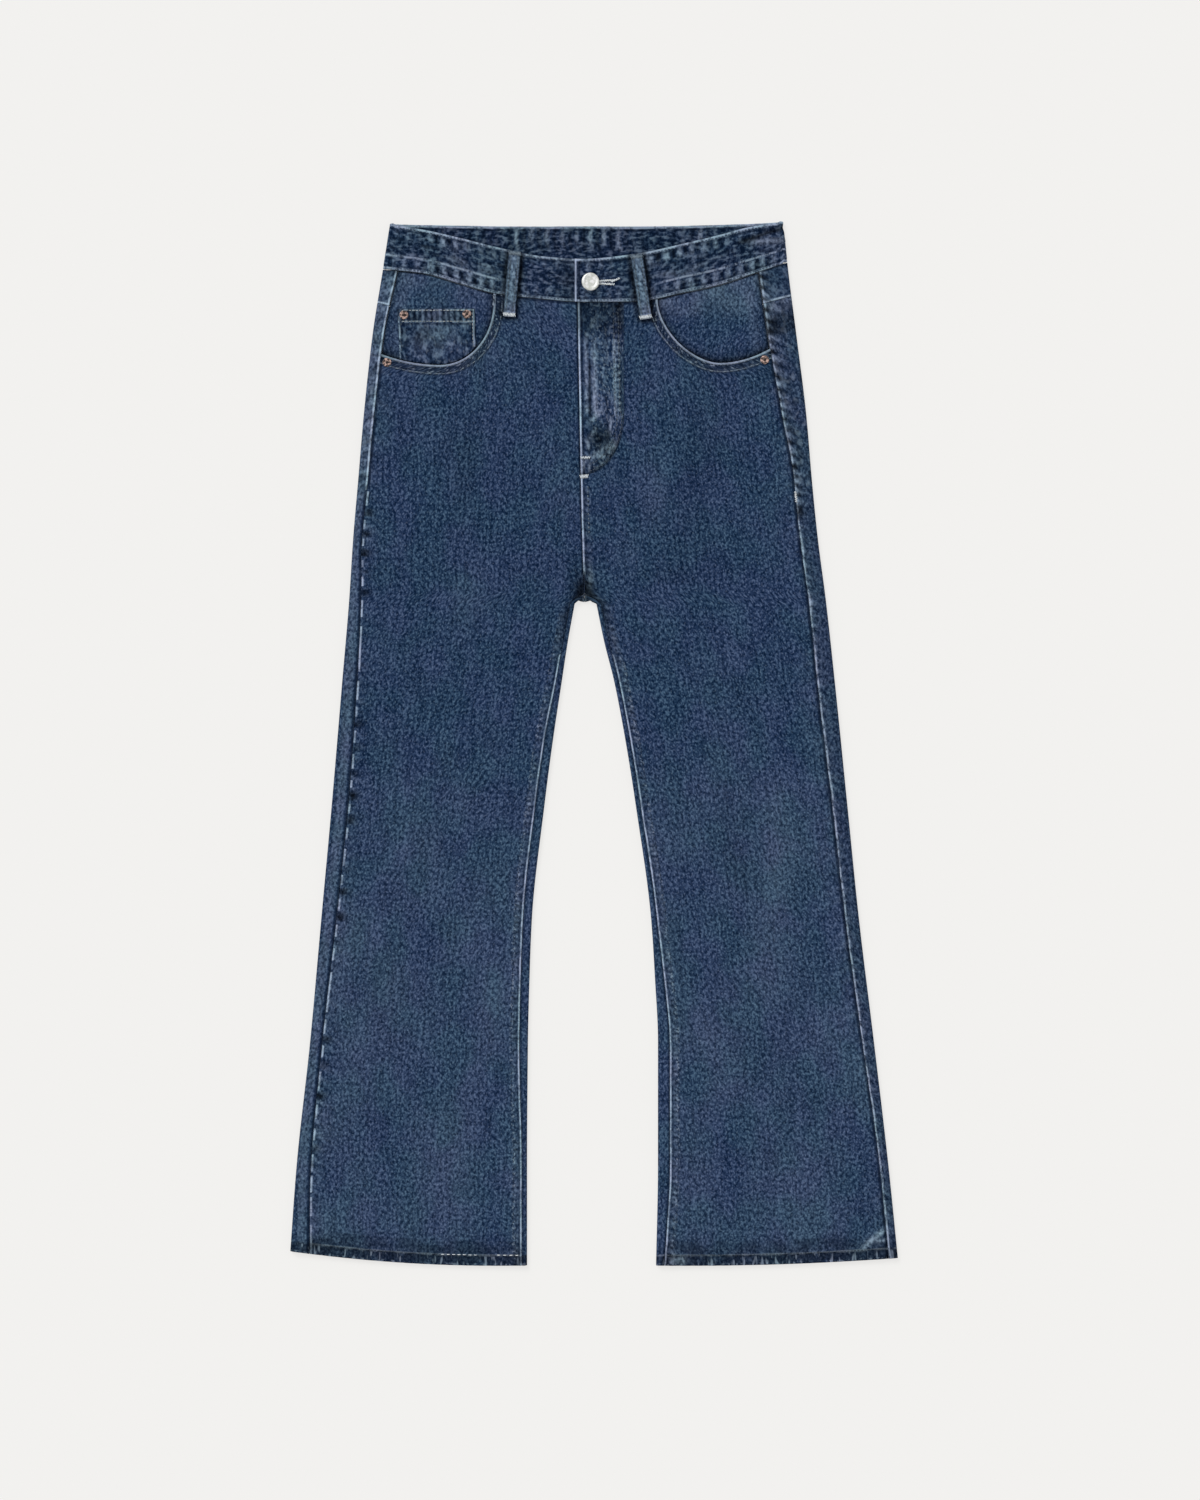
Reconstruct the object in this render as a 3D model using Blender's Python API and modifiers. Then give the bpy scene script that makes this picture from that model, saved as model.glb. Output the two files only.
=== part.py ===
"""Straight-leg five-pocket jeans, laid flat on a surface with the front up.

Frame: +X is the picture's right (the wearer's left), +Y runs up to the waist, +Z is off the surface.
The origin is the middle of the garment's outline, on the surface. Sizes are in millimetres until a
mesh is made, and "right" and "left" are the wearer's.

The cloth is a closed flat tube, the pillow: a top sheet and a bottom sheet that meet in a round fold
at the outline. Each panel is the stretch of that tube between its own seams.
"""

import math

import bpy
import numpy as np

MM = 0.001

# Cloth and seams
CLOTH = 1.2  # one layer of denim
BAND_CLOTH = 2.4  # the waistband is a folded strip
LOOP_CLOTH = 2.0  # a belt loop is a strip folded in three
BACK_LOOP_CLOTH = 1.6  # the same strip, pressed under the garment's weight
SEAM_GAP = 0.3
WAIST_GAP = 0.5  # under the waistband, whose edge bends
FOLD_R = 2.9  # outer radius of the fold at the outline
BAND_FOLD_R = 3.6
LOFT_RUN = 40.0  # how far in from the fold the top sheet takes to settle

# Places that several pieces share
SEAT_X = -9.5  # the seat seam, and where the four legs' seams cross
CROTCH_Y = 138.0  # the fold between the legs
CROSSING_Y = 147.0  # where the four seams cross, on the top sheet
LEG_TOP_Y = 136.0  # the first level at which each leg is a tube of its own
BAND_LOFT = 7.4  # top of the front waistband over the surface
BACK_BAND_HEIGHT = 41.0
BACK_TOP_Y = 504.6
YOKE_CENTRE_Y = 385.0
YOKE_SIDE_Y = {"right": 429.5, "left": 436.0}
SIDE = {"right": -1, "left": 1}

# Overlap of the waistband's two ends
LAP_END_X = -18.0
UNDERLAP_END_X = 14.0
LAP_RISE = 1.6
UNDERLAP_SINK = 1.1
LAP_RAMP = 22.0
LAP_RAMP_REACH = 36.0

BAND_FOLD_Y = 464.0  # about where the waistband turns round the side folds
HEM_SIDE_X = 200.0  # where each hem's level is taken to place its columns


def columns(names, rows):
    """A table as {column name: values}."""
    return {name: np.array(values, float) for name, values in zip(names.split(), zip(*rows))}


# The outline's outer edges, how far each side seam lies in from them, and the top sheet's height
OUTER = columns(
    "y right left right_wrap left_wrap loft",
    [
        (-509, -297.3, 297.2, 20.0, 9.0, 5.2),
        (-410, -290.0, 287.1, 14.0, 9.0, 4.2),
        (-290, -276.9, 273.0, 12.0, 11.7, 4.2),
        (-170, -266.0, 258.4, 14.9, 13.7, 4.2),
        (-60, -255.9, 247.2, 16.3, 15.1, 4.2),
        (60, -245.7, 235.0, 14.6, 17.6, 4.6),
        (140, -238.9, 226.2, 11.7, 17.1, 5.2),
        (200, -235.0, 218.4, 8.8, 17.8, 5.8),
        (257, -230.1, 212.6, 9.8, 17.6, 6.2),
        (320, -224.7, 207.2, 10.5, 23.9, 6.4),
        (400, -215.9, 197.3, 11.1, 28.0, 6.4),
        (464, -205.7, 189.2, 14.6, 28.8, 6.4),
        (509, -198.8, 184.6, 16.0, 29.0, 6.4),
    ],
)

# The legs' inner edges, and how far each inseam lies in from them
INNER = columns(
    "y right left right_wrap left_wrap",
    [
        (-509, -65.3, 60.5, 5.0, 8.0),
        (-410, -65.3, 62.4, 5.0, 11.5),
        (-290, -64.4, 62.4, 8.2, 11.2),
        (-230, -62.9, 59.5, 8.4, 8.8),
        (-170, -60.5, 55.6, 8.5, 5.6),
        (-60, -48.3, 40.7, 8.8, 4.6),
        (0, -40.5, 31.2, 8.3, 4.6),
        (60, -31.5, 19.8, 5.6, 4.6),
        (100, -25.4, 9.8, 4.6, 4.6),
        (138, -18.5, 2.0, 4.6, 4.6),
    ],
)

# The front waistband's top edge and the seam under it
WAIST = columns(
    "x top seam",
    [
        (-206, 507.2, 462.6),
        (-166, 500.8, 458.4),
        (-131, 493.0, 448.6),
        (-95, 484.0, 438.6),
        (-50, 475.0, 433.4),
        (-10, 472.4, 430.4),
        (40, 477.4, 430.8),
        (88, 487.6, 439.8),
        (123, 496.0, 447.6),
        (150, 503.2, 456.4),
        (190, 509.3, 469.6),
    ],
)

# The fly's edge and the crotch seam below it
CENTRE_FRONT = columns("y x", [(147, SEAT_X), (180, -11.0), (257, -13.0), (354, -14.8), (440, -16.3)])

# Each front pocket's mouth: a quarter oval down from the waist seam, then a slow rise to the side seam
MOUTH = {
    "right": {"x": -150.0, "y": 430.0, "across": 52.0, "drop": 61.0, "power": 2.0, "rise": 11.0, "run": 58.0},
    "left": {"x": 122.0, "y": 432.0, "across": 60.0, "drop": 61.0, "power": 1.7, "rise": 12.0, "run": 46.0},
}
FACING_MARGIN = 12.0  # how far the facing runs on under the front panel

FLY = {"width": 41.0, "x": -12.0, "y": 320.0, "drop": 58.0}
COIN_POCKET = {"left_x": -191.6, "right_x": -116.8, "top": 423.8, "slant": 2.2}
HEM_DEPTH = 11.0
HEM_RISE = 0.7  # the turned-up hem stands this far over the leg
BACK_POCKET = {"centre": 112.0, "top": 362.0, "height": 135.0, "point": 20.0, "top_half": 73.0, "bottom_half": 63.0}

# Belt loops: the middle of each end, and which sheet it lies on
LOOP_WIDTH = 12.4
LOOP_BELT_ROOM = 1.4
LOOPS = {
    "belt_loop_front_right": {"top": (-77.0, 479.6), "bottom": (-82.8, 415.8), "sheet": 1},
    "belt_loop_front_left": {"top": (41.4, 476.4), "bottom": (50.7, 413.4), "sheet": 1},
    "belt_loop_back_right": {"top": (SEAT_X - 128.0, 503.4), "bottom": (SEAT_X - 128.0, 447.6), "sheet": -1},
    "belt_loop_back_centre": {"top": (SEAT_X, 503.4), "bottom": (SEAT_X, 447.6), "sheet": -1},
    "belt_loop_back_left": {"top": (SEAT_X + 128.0, 503.4), "bottom": (SEAT_X + 128.0, 447.6), "sheet": -1},
}
PATCH_LIFT = CLOTH + SEAM_GAP
LOOP_LIFT = BACK_LOOP_CLOTH + SEAM_GAP
LIFT_FLAT = 17.0  # how far past its edges a pocket or loop holds the back up level
LIFT_RUN = 8.0

BUTTON = {"x": -4.3, "y": 449.6, "radius": 8.8, "tilt": 12.0}
RIVETS = {
    "rivet_coin_right": (-185.4, 417.9, "coin_pocket"),
    "rivet_coin_left": (-124.0, 418.6, "coin_pocket"),
    "rivet_pocket_right": (-201.8, 371.6, "panel"),
    "rivet_pocket_left": (166.4, 374.0, "panel"),
}

DENIM = {"name": "denim", "colour": (0.028, 0.054, 0.105), "roughness": 0.9, "metallic": 0.0}
STEEL = {"name": "silvered_button", "colour": (0.72, 0.73, 0.70), "roughness": 0.3, "metallic": 1.0}
COPPER = {"name": "copper_rivet", "colour": (0.52, 0.28, 0.19), "roughness": 0.4, "metallic": 1.0}


# ---------------------------------------------------------------- curves and heights

def through(table, column, at, key="y"):
    """The smooth curve through a table's column, with no overshoot between its rows."""
    x, y = table[key], table[column]
    step, rise = np.diff(x), np.diff(y) / np.diff(x)
    slope = np.concatenate([rise[:1], np.zeros(len(x) - 2), rise[-1:]])
    same = rise[:-1] * rise[1:] > 0
    inner = np.zeros(len(x) - 2)
    inner[same] = 2 * rise[:-1][same] * rise[1:][same] / (rise[:-1][same] + rise[1:][same])
    slope[1:-1] = inner
    at = np.clip(np.asarray(at, float), x[0], x[-1])
    i = np.clip(np.searchsorted(x, at) - 1, 0, len(x) - 2)
    t = (at - x[i]) / step[i]
    return (
        y[i] * (1 + 2 * t) * (1 - t) ** 2
        + slope[i] * step[i] * t * (1 - t) ** 2
        + y[i + 1] * t * t * (3 - 2 * t)
        + slope[i + 1] * step[i] * t * t * (t - 1)
    )


def ease(t):
    """0 to 1 with level ends."""
    t = np.clip(t, 0, 1)
    return t * t * (3 - 2 * t)


def mix(a, b, t):
    return a + (b - a) * t


def outer_x(side, y):
    return through(OUTER, side, y)


def side_seam_x(side, y):
    return outer_x(side, y) - SIDE[side] * through(OUTER, side + "_wrap", y)


def inner_x(side, y):
    return through(INNER, side, y)


def inseam_x(side, y):
    return inner_x(side, y) + SIDE[side] * through(INNER, side + "_wrap", y)


def centre_x(side, y):
    """The front panel's inner edge: the fly and crotch seam, then the inseam."""
    y = np.asarray(y, float)
    turn = mix(inseam_x(side, LEG_TOP_Y), SEAT_X, (y - LEG_TOP_Y) / (CROSSING_Y - LEG_TOP_Y))
    upper = np.where(y >= CROSSING_Y, through(CENTRE_FRONT, "x", y), turn)
    return np.where(y <= LEG_TOP_Y, inseam_x(side, y), upper)


def hem_y(x):
    """The two hems, each a shallow curve that lifts at the side seam."""
    lift = np.where(x < 0, 14.0 * ((x + 95) / 200) ** 2, 7.5 * ((x - 95) / 200) ** 2)
    return -509.3 + lift


def hem_rise(x, y):
    """How far the top sheet steps up over the turned-up hem."""
    return HEM_RISE * ease((hem_y(x) + HEM_DEPTH + 1.5 - y) / 1.5)


def back_share(x):
    """0 at the centre back, 1 at the side folds."""
    edge = np.where(x < SEAT_X, WAIST["x"][0], WAIST["x"][-1])
    return np.clip(np.abs((x - SEAT_X) / (edge - SEAT_X)), 0, 1) ** 3


def waist_y(x, sheet, line):
    """The waistband's top edge or seam, on the front (sheet 1) or the back (sheet -1)."""
    if sheet > 0:
        return through(WAIST, line, x, "x")
    ends = np.where(x < SEAT_X, WAIST[line][0], WAIST[line][-1])
    centre = BACK_TOP_Y - (BACK_BAND_HEIGHT if line == "seam" else 0.0)
    return mix(centre, ends, back_share(x))


def yoke_y(side, x):
    """The seam between the yoke and the back panel, a shallow V that points down at the centre back."""
    span = np.abs(outer_x(side, YOKE_SIDE_Y[side]) - SEAT_X)
    return mix(YOKE_CENTRE_Y, YOKE_SIDE_Y[side], np.clip(np.abs(x - SEAT_X) / span, 0, 1))


def mouth_y(side, x):
    """The pocket mouth's level at x."""
    m = MOUTH[side]
    inward = -SIDE[side] * (x - m["x"])
    share = np.clip(inward / m["across"], 0, 1)
    oval = m["y"] - m["drop"] * (1 - share ** m["power"]) ** (1 / m["power"])
    rise = m["y"] - m["drop"] + m["rise"] * (inward / m["run"]) ** 2
    return np.where(inward > 0, oval, rise)


def edge_distance(x, y):
    """How far a point lies in from the outline, whose hems and waist are open."""
    d = np.minimum(x - outer_x("right", y), outer_x("left", y) - x)
    right_end, left_end = inner_x("right", CROTCH_Y), inner_x("left", CROTCH_Y)
    beside = np.maximum(np.maximum(right_end - x, x - left_end), 0)
    above = np.hypot(beside, np.maximum(y - CROTCH_Y, 0))
    below = np.where(x < SEAT_X, inner_x("right", y) - x, x - inner_x("left", y))
    return np.maximum(np.minimum(d, np.where(y >= CROTCH_Y, above, below)), 0)


def pocket_half(y):
    """A back pocket's half width at a level, tapering to the bottom."""
    p = BACK_POCKET
    return mix(p["top_half"], p["bottom_half"], np.clip((p["top"] - y) / p["height"], 0, 1))


def lift(x, y):
    """How far the back is held off the surface by the pockets and loops that it lies on."""
    raised = np.zeros(np.broadcast(x, y).shape)
    p = BACK_POCKET
    past_y = np.maximum(y - p["top"], p["top"] - p["height"] - p["point"] - y)
    patches = [(SEAT_X + way * p["centre"], pocket_half(y), past_y, PATCH_LIFT) for way in (-1, 1)]
    for loop in LOOPS.values():
        if loop["sheet"] < 0:
            past_y = np.maximum(y - loop["top"][1], loop["bottom"][1] - y)
            patches.append((loop["top"][0], LOOP_WIDTH / 2, past_y, LOOP_LIFT))
    for middle, half, past_y, height in patches:
        past_x = np.abs(x - middle) - half
        past = np.hypot(np.maximum(past_x, 0), np.maximum(past_y, 0))
        raised = np.maximum(raised, height * ease(1 - (past - LIFT_FLAT) / LIFT_RUN))
    return raised


def pillow(x, y, sheet, radius=FOLD_R, loft=None):
    """Height of the flat tube's outer surface: sheet 1 is the top, -1 the bottom, 0 the fold."""
    d = edge_distance(x, y)
    half = np.sqrt(np.maximum(radius**2 - np.maximum(radius - d, 0) ** 2, 0))
    settled = through(OUTER, "loft", y) if loft is None else loft
    sag = (2 * radius - settled) * ease((d - radius) / LOFT_RUN)
    top = hem_rise(x, y) * ease(d / radius) - sag
    return radius + sheet * half + np.where(sheet > 0, top, np.where(sheet < 0, lift(x, y), 0))


# ---------------------------------------------------------------- making objects

def material(finish):
    made = bpy.data.materials.get(finish["name"])
    if made is None:
        made = bpy.data.materials.new(finish["name"])
        made.use_nodes = True
        shader = made.node_tree.nodes["Principled BSDF"]
        shader.inputs["Base Color"].default_value = (*finish["colour"], 1.0)
        shader.inputs["Roughness"].default_value = finish["roughness"]
        shader.inputs["Metallic"].default_value = finish["metallic"]
    return made


def add_object(name, mesh, finish):
    made = bpy.data.objects.new(name, mesh)
    made.data.materials.append(material(finish))
    parts.objects.link(made)
    return made


def cloth(name, grid, thickness=CLOTH, finish=DENIM, turned=False):
    """A wall of cloth: grid (rows, columns, 3) is its outer face, and Solidify gives it its inner one.
    Rows run down the garment. turned is for a grid whose columns run to the picture's left on top."""
    rows, cols = grid.shape[:2]
    index = np.arange(rows * cols).reshape(rows, cols)
    quads = np.stack([index[:-1, :-1], index[1:, :-1], index[1:, 1:], index[:-1, 1:]], -1).reshape(-1, 4)
    if turned:
        quads = quads[:, ::-1]
    mesh = bpy.data.meshes.new(name)
    mesh.from_pydata((grid.reshape(-1, 3) * MM).tolist(), [], quads.tolist())
    mesh.shade_smooth()
    made = add_object(name, mesh, finish)
    wall = made.modifiers.new("wall", "SOLIDIFY")
    wall.thickness = thickness * MM
    wall.offset = -1
    wall.use_even_offset = True
    return made


def on_pillow(x, y, raised=0.0):
    """Grid points at (x, y), moved out from the top sheet by raised."""
    x, y = np.broadcast_arrays(np.asarray(x, float), np.asarray(y, float))
    return np.stack([x, y, pillow(x, y, np.ones(x.shape)) + raised], -1)


# ---------------------------------------------------------------- fronts, facings and the fly

MOUTH_STEPS = 10
WAIST_STEPS = 5
FRONT_BASE_Y = 352.0
FRONT_LEVELS = (330, 290, 250, 200, 172, 155, 147, 141.5, 136, 118, 90, 60, 20, -20, -60, -100,
                -150, -200, -250, -300, -350, -400, -440, -470)
HEM_ROWS = (HEM_DEPTH + 1.5, HEM_DEPTH, HEM_DEPTH / 2, 0.0)  # above the hem's edge


def mouth_stations(side):
    """x along the pocket mouth from the side seam to the waist seam, closer where it turns up."""
    m = MOUTH[side]
    start = side_seam_x(side, m["y"] - m["drop"] + m["rise"]) - SIDE[side] * SEAM_GAP / 2
    flat_steps = 3
    flat = np.linspace(start, m["x"], flat_steps, endpoint=False)
    turn = np.linspace(0, math.pi / 2, MOUTH_STEPS - flat_steps + 1)
    return np.concatenate([flat, m["x"] - SIDE[side] * m["across"] * np.sin(turn)])


def front_top_edge(side):
    """The front panel's upper edge as (x, y): the pocket mouth, then the waist seam to the fly."""
    x = mouth_stations(side)
    y = mouth_y(side, x)
    y[-1] = through(WAIST, "seam", x[-1], "x") - WAIST_GAP
    end = centre_x(side, WAIST["seam"].min()) + SIDE[side] * SEAM_GAP / 2
    along = np.linspace(x[-1], end, WAIST_STEPS + 1)[1:]
    return np.concatenate([x, along]), np.concatenate([y, through(WAIST, "seam", along, "x") - WAIST_GAP])


def front_level(side, y, count):
    """count points straight across the front panel at a level."""
    gap = SIDE[side] * SEAM_GAP / 2
    start, end = side_seam_x(side, y) - gap, centre_x(side, y) + gap
    return np.linspace(start, end, count)


def front_panel(side):
    top_x, top_y = front_top_edge(side)
    count = len(top_x)
    gap = SIDE[side] * SEAM_GAP / 2
    rows_x, rows_y = [], []
    for t in (0.0, 0.35, 0.7, 1.0):
        y = mix(top_y, FRONT_BASE_Y, t)
        x = mix(top_x, front_level(side, FRONT_BASE_Y, count), ease(t))
        x[0], x[-1] = side_seam_x(side, y[0]) - gap, centre_x(side, y[-1]) + gap
        rows_x.append(x)
        rows_y.append(y)
    for level in FRONT_LEVELS:
        rows_x.append(front_level(side, level, count))
        rows_y.append(np.full(count, float(level)))
    for above in HEM_ROWS:
        hem_x = front_level(side, hem_y(SIDE[side] * HEM_SIDE_X) + above, count)
        rows_x.append(hem_x)
        rows_y.append(hem_y(hem_x) + above)
    return cloth("front_" + side, on_pillow(np.array(rows_x), np.array(rows_y)), turned=side == "left")


def facing(side):
    """The denim that shows in the pocket mouth, one layer under the front panel."""
    under = CLOTH + SEAM_GAP
    m = MOUTH[side]
    way = SIDE[side]
    inner_edge = m["x"] - way * (m["across"] + FACING_MARGIN)
    across = np.linspace(0, 1, 10)
    outer_top = side_seam_x(side, waist_y(outer_x(side, BAND_FOLD_Y), 1, "seam")) - way * 3 * SEAM_GAP
    top_x = mix(outer_top, inner_edge, across)
    top_y = through(WAIST, "seam", top_x, "x") - WAIST_GAP
    reach = np.clip(1 - (-way * (top_x - m["x"]) / (m["across"] + FACING_MARGIN)), 0.02, 1)
    low_y = m["y"] - (m["drop"] + FACING_MARGIN) * np.minimum(reach * 2.2, 1) ** 0.5
    rows = []
    for t in np.linspace(0, 1, 7):
        y = mix(top_y, low_y, t)
        x = mix(side_seam_x(side, y) - way * 3 * SEAM_GAP, inner_edge, across)
        rows.append(on_pillow(x, y, -under))
    return cloth("pocket_facing_" + side, np.array(rows), turned=side == "left")


def coin_pocket():
    """The small patch on the right facing, cut off by the pocket mouth."""
    p = COIN_POCKET
    across = np.linspace(0, 1, 9)
    top_x = mix(p["left_x"], p["right_x"], across)
    rows = []
    for t in np.linspace(0, 1, 5):
        x = top_x + p["slant"] * t
        clear = 2.2 * SEAM_GAP + 1.4 * np.clip((x + 135) / 20, 0, 1)  # more where the mouth turns up
        floor = mouth_y("right", x) + clear
        rows.append(on_pillow(x, mix(p["top"], floor, t)))
    return cloth("coin_pocket", np.array(rows))


def fly():
    """The lapped front of the zip, bounded below by a J-shaped quarter oval."""
    turn = np.linspace(0, math.pi / 2, 8)
    x_low = FLY["x"] + FLY["width"] * np.sin(turn)
    y_low = FLY["y"] - FLY["drop"] * np.cos(turn)
    rows = []
    for t in np.linspace(0, 1, 9):
        y = mix(through(WAIST, "seam", x_low, "x") - WAIST_GAP, y_low, t)
        edge = centre_x("left", y) + SEAM_GAP / 2
        x = mix(edge, FLY["x"] + FLY["width"], (x_low - FLY["x"]) / FLY["width"])
        rows.append(on_pillow(x, y, CLOTH + SEAM_GAP))
    return cloth("fly", np.array(rows))


# ---------------------------------------------------------------- backs and yokes

FOLD_TURNS = np.radians([90, 45, 0, -45, -90])  # from the top sheet round to the bottom one
INNER_TURNS = np.radians([-90, -45, 0, 45, 90])  # from the bottom sheet up round the leg's inner edge
SHEETS = np.array([1, 1, 1, 1, 0, -1, -1] + [-1] * 12)
LEG_SHEETS = np.array([1, 1, 1, 1, 0, -1, -1] + [-1] * 8 + [0, 1, 1, 1])
UNDER = np.array([188.0, 160.0, 130.0, 112.0, 74.0, 32.0])  # from the seat seam, so as to clear the pockets
UNDER_SPAN = 207.4
LEG_SHARES = (222.0 - UNDER) / 206.0
SEAT_TAIL = np.array([16.0, 12.8, 9.6, 6.4, 3.2, 0.0])
YOKE_SHARES = (0.0, 0.36, 0.68, 1.0)
BACK_TOP_LEVEL = 366.0
BACK_LEVELS_SEAT = (330, 290, 250, 200, 172, 155)
BACK_LEVELS_LEG = (136, 118, 90, 60, 20, -20, -60, -100, -150, -200, -250, -300, -350, -400, -440, -470)

# The two rows that turn up under the crotch: each one's level, then its last six points as distances
# out from the seat seam and up from the crotch's fold, with the sheet that each lies on
CROTCH_ROWS = (
    (146.0, (16, 13, 10, 7, 3.5, 0.4), (6.0, 4.8, 3.4, 2.0, 0.7, 0.0), (-1, -1, -1, -1, -1, 0)),
    (140.0, (16, 12, 8.5, 6, 3.2, 0.4), (1.6, 0.6, 0.0, 1.2, 3.2, 7.0), (-1, -1, 0, 1, 1, 1)),
)


def seat_x(side, y):
    """x of one row's 19 points, from the side seam round the outer fold to the seat seam, at levels y."""
    way = SIDE[side]
    edge = outer_x(side, y)
    seam = side_seam_x(side, y) + way * SEAM_GAP / 2
    span = np.abs(edge[7:13] - SEAT_X) - FOLD_R
    return np.concatenate(
        [
            seam[:1],
            mix(seam[1:2], edge[1:2] - way * FOLD_R, 0.5),
            edge[2:7] - way * FOLD_R * (1 - np.cos(FOLD_TURNS)),
            SEAT_X + way * UNDER * np.minimum(1, span / UNDER_SPAN),
            SEAT_X + way * (SEAM_GAP / 2 + SEAT_TAIL),
        ]
    )


def leg_x(side, y):
    """The same below the crotch, where the row goes on round the leg's inner edge to the inseam."""
    way = SIDE[side]
    x = seat_x(side, y)
    edge = inner_x(side, y[13:])
    x[13:18] = edge[:5] + way * FOLD_R * (1 - np.cos(INNER_TURNS))
    x[18] = inseam_x(side, y[18]) - way * SEAM_GAP / 2
    x[7:13] = mix(x[6], x[13], LEG_SHARES)
    return x


def back_grid_row(x, y, sheets):
    return np.stack([x, y, pillow(x, y, sheets)], -1)


def slanted_row(side, share, top_line, low_line):
    """A row of the back between two seams, each a function of x and sheet that gives its level."""
    y = np.full(len(SHEETS), 400.0)  # a first guess, made exact by repeating
    for _ in range(6):
        x = seat_x(side, y)
        y = mix(top_line(x, SHEETS), low_line(x, SHEETS), share)
    return back_grid_row(x, y, SHEETS)


def level_row(side, y, x_of, sheets):
    levels = np.full(len(sheets), float(y))
    return back_grid_row(x_of(side, levels), levels, sheets)


def crotch_row(side, level, out, up, tail_sheets):
    y = np.full(len(SHEETS), level)
    x = seat_x(side, y)
    x[13:], y[13:] = SEAT_X + SIDE[side] * np.array(out), CROTCH_Y + np.array(up)
    x[7:13] = mix(x[6], x[13], LEG_SHARES)
    y[7:13] = mix(y[6], y[13], LEG_SHARES)
    return back_grid_row(x, y, np.concatenate([SHEETS[:13], tail_sheets]))


def yoke(side):
    def waist(x, sheets):
        return np.where(sheets > 0, waist_y(x, 1, "seam"), waist_y(x, -1, "seam")) - WAIST_GAP

    def low(x, sheets):
        return yoke_y(side, x)

    rows = [slanted_row(side, share, waist, low) for share in YOKE_SHARES]
    return cloth("yoke_" + side, np.array(rows), turned=side == "right")


def back_panel(side):
    def yoke_seam(x, sheets):
        return yoke_y(side, x) - SEAM_GAP

    def level(x, sheets):
        return np.full(len(x), BACK_TOP_LEVEL)

    rows = [slanted_row(side, share, yoke_seam, level) for share in (0.0, 0.5, 1.0)]
    rows += [level_row(side, y, seat_x, SHEETS) for y in BACK_LEVELS_SEAT]
    rows += [crotch_row(side, *crotch) for crotch in CROTCH_ROWS]
    rows += [level_row(side, y, leg_x, LEG_SHEETS) for y in BACK_LEVELS_LEG]
    for above in HEM_ROWS:
        x = leg_x(side, np.full(len(LEG_SHEETS), hem_y(SIDE[side] * HEM_SIDE_X) + above))
        rows.append(back_grid_row(x, hem_y(x) + above, LEG_SHEETS))
    return cloth("back_" + side, np.array(rows), turned=side == "right")


def back_pocket(side):
    """A five-sided patch on the back, face down on the surface."""
    p = BACK_POCKET
    centre = SEAT_X + SIDE[side] * p["centre"]
    share = np.linspace(-1, 1, 7)
    rows = []
    for t in np.linspace(0, 1, 7):
        low = p["height"] + p["point"] * (1 - np.abs(share))
        y = p["top"] - t * low
        x = centre + share * pocket_half(y)
        rows.append(np.stack([x, y, np.zeros(len(x))], -1))
    return cloth("back_pocket_" + side, np.array(rows), turned=True)


# ---------------------------------------------------------------- waistband and loops

BAND_FRONT_LEFT = (LAP_END_X, -6, 6, 14, 25, 36, 52, 70, 90, 110, 130, 148, 165)
BAND_FRONT_RIGHT = (-184, -166, -146, -126, -106, -86, -68, -52, -36, -25, -14, 0, UNDERLAP_END_X)
BAND_BACK = (160, 142, 114, 74, 32, 16, 0, -16, -32, -74, -114, -142, -160)  # from the seat seam
BAND_ROWS = 4


def lap_shift(x, end):
    """How far the waistband's overlapping end rises, and the end under it sinks."""
    if end == "over":
        return LAP_RISE * ease((LAP_RAMP_REACH - x) / LAP_RAMP)
    return -UNDERLAP_SINK * ease((x + LAP_RAMP_REACH) / LAP_RAMP)


def band_points(x, sheet, share, shift=0.0):
    """Points of the waistband at x: share 0 is its seam and 1 its top edge."""
    y = mix(waist_y(x, sheet, "seam"), waist_y(x, sheet, "top"), share)
    return np.stack([x, y, pillow(x, y, sheet, radius=BAND_FOLD_R, loft=BAND_LOFT) + shift], -1)


def band_fold(side, share, turns):
    """The waistband's points round one side fold."""
    way = SIDE[side]
    seam_and_top = [waist_y(outer_x(side, BAND_FOLD_Y), 1, line) for line in ("seam", "top")]
    y = float(mix(*seam_and_top, share))
    x = outer_x(side, y) - way * BAND_FOLD_R * (1 - np.cos(turns))
    sheets = np.sign(np.round(np.sin(turns), 6))
    z = pillow(x, np.full(len(x), y), sheets, radius=BAND_FOLD_R, loft=BAND_LOFT)
    return np.stack([x, np.full(len(x), y), z], -1)


def waistband():
    over = np.array(BAND_FRONT_LEFT, float)
    under = np.array(BAND_FRONT_RIGHT, float)
    back_x = SEAT_X + np.array(BAND_BACK, float)
    rows = []
    for share in np.linspace(1, 0, BAND_ROWS):
        left_fold = band_fold("left", share, FOLD_TURNS)
        right_fold = band_fold("right", share, FOLD_TURNS[::-1])
        rows.append(
            np.concatenate(
                [
                    band_points(over, 1, share, lap_shift(over, "over")),
                    left_fold,
                    band_points(back_x, -1, share),
                    right_fold,
                    band_points(under, 1, share, lap_shift(under, "under")),
                ]
            )
        )
    return cloth("waistband", np.array(rows), BAND_CLOTH)


def outer_face(x, y):
    """Height of the front's outermost face under a belt loop: the waistband, or the panel below it."""
    band = pillow(x, y, 1, radius=BAND_FOLD_R, loft=BAND_LOFT) + np.where(x > 0, lap_shift(x, "over"), 0)
    panel = pillow(x, y, 1)
    seam = through(WAIST, "seam", x, "x")
    return mix(panel, band, ease((y - seam + 14) / 8))


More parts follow.
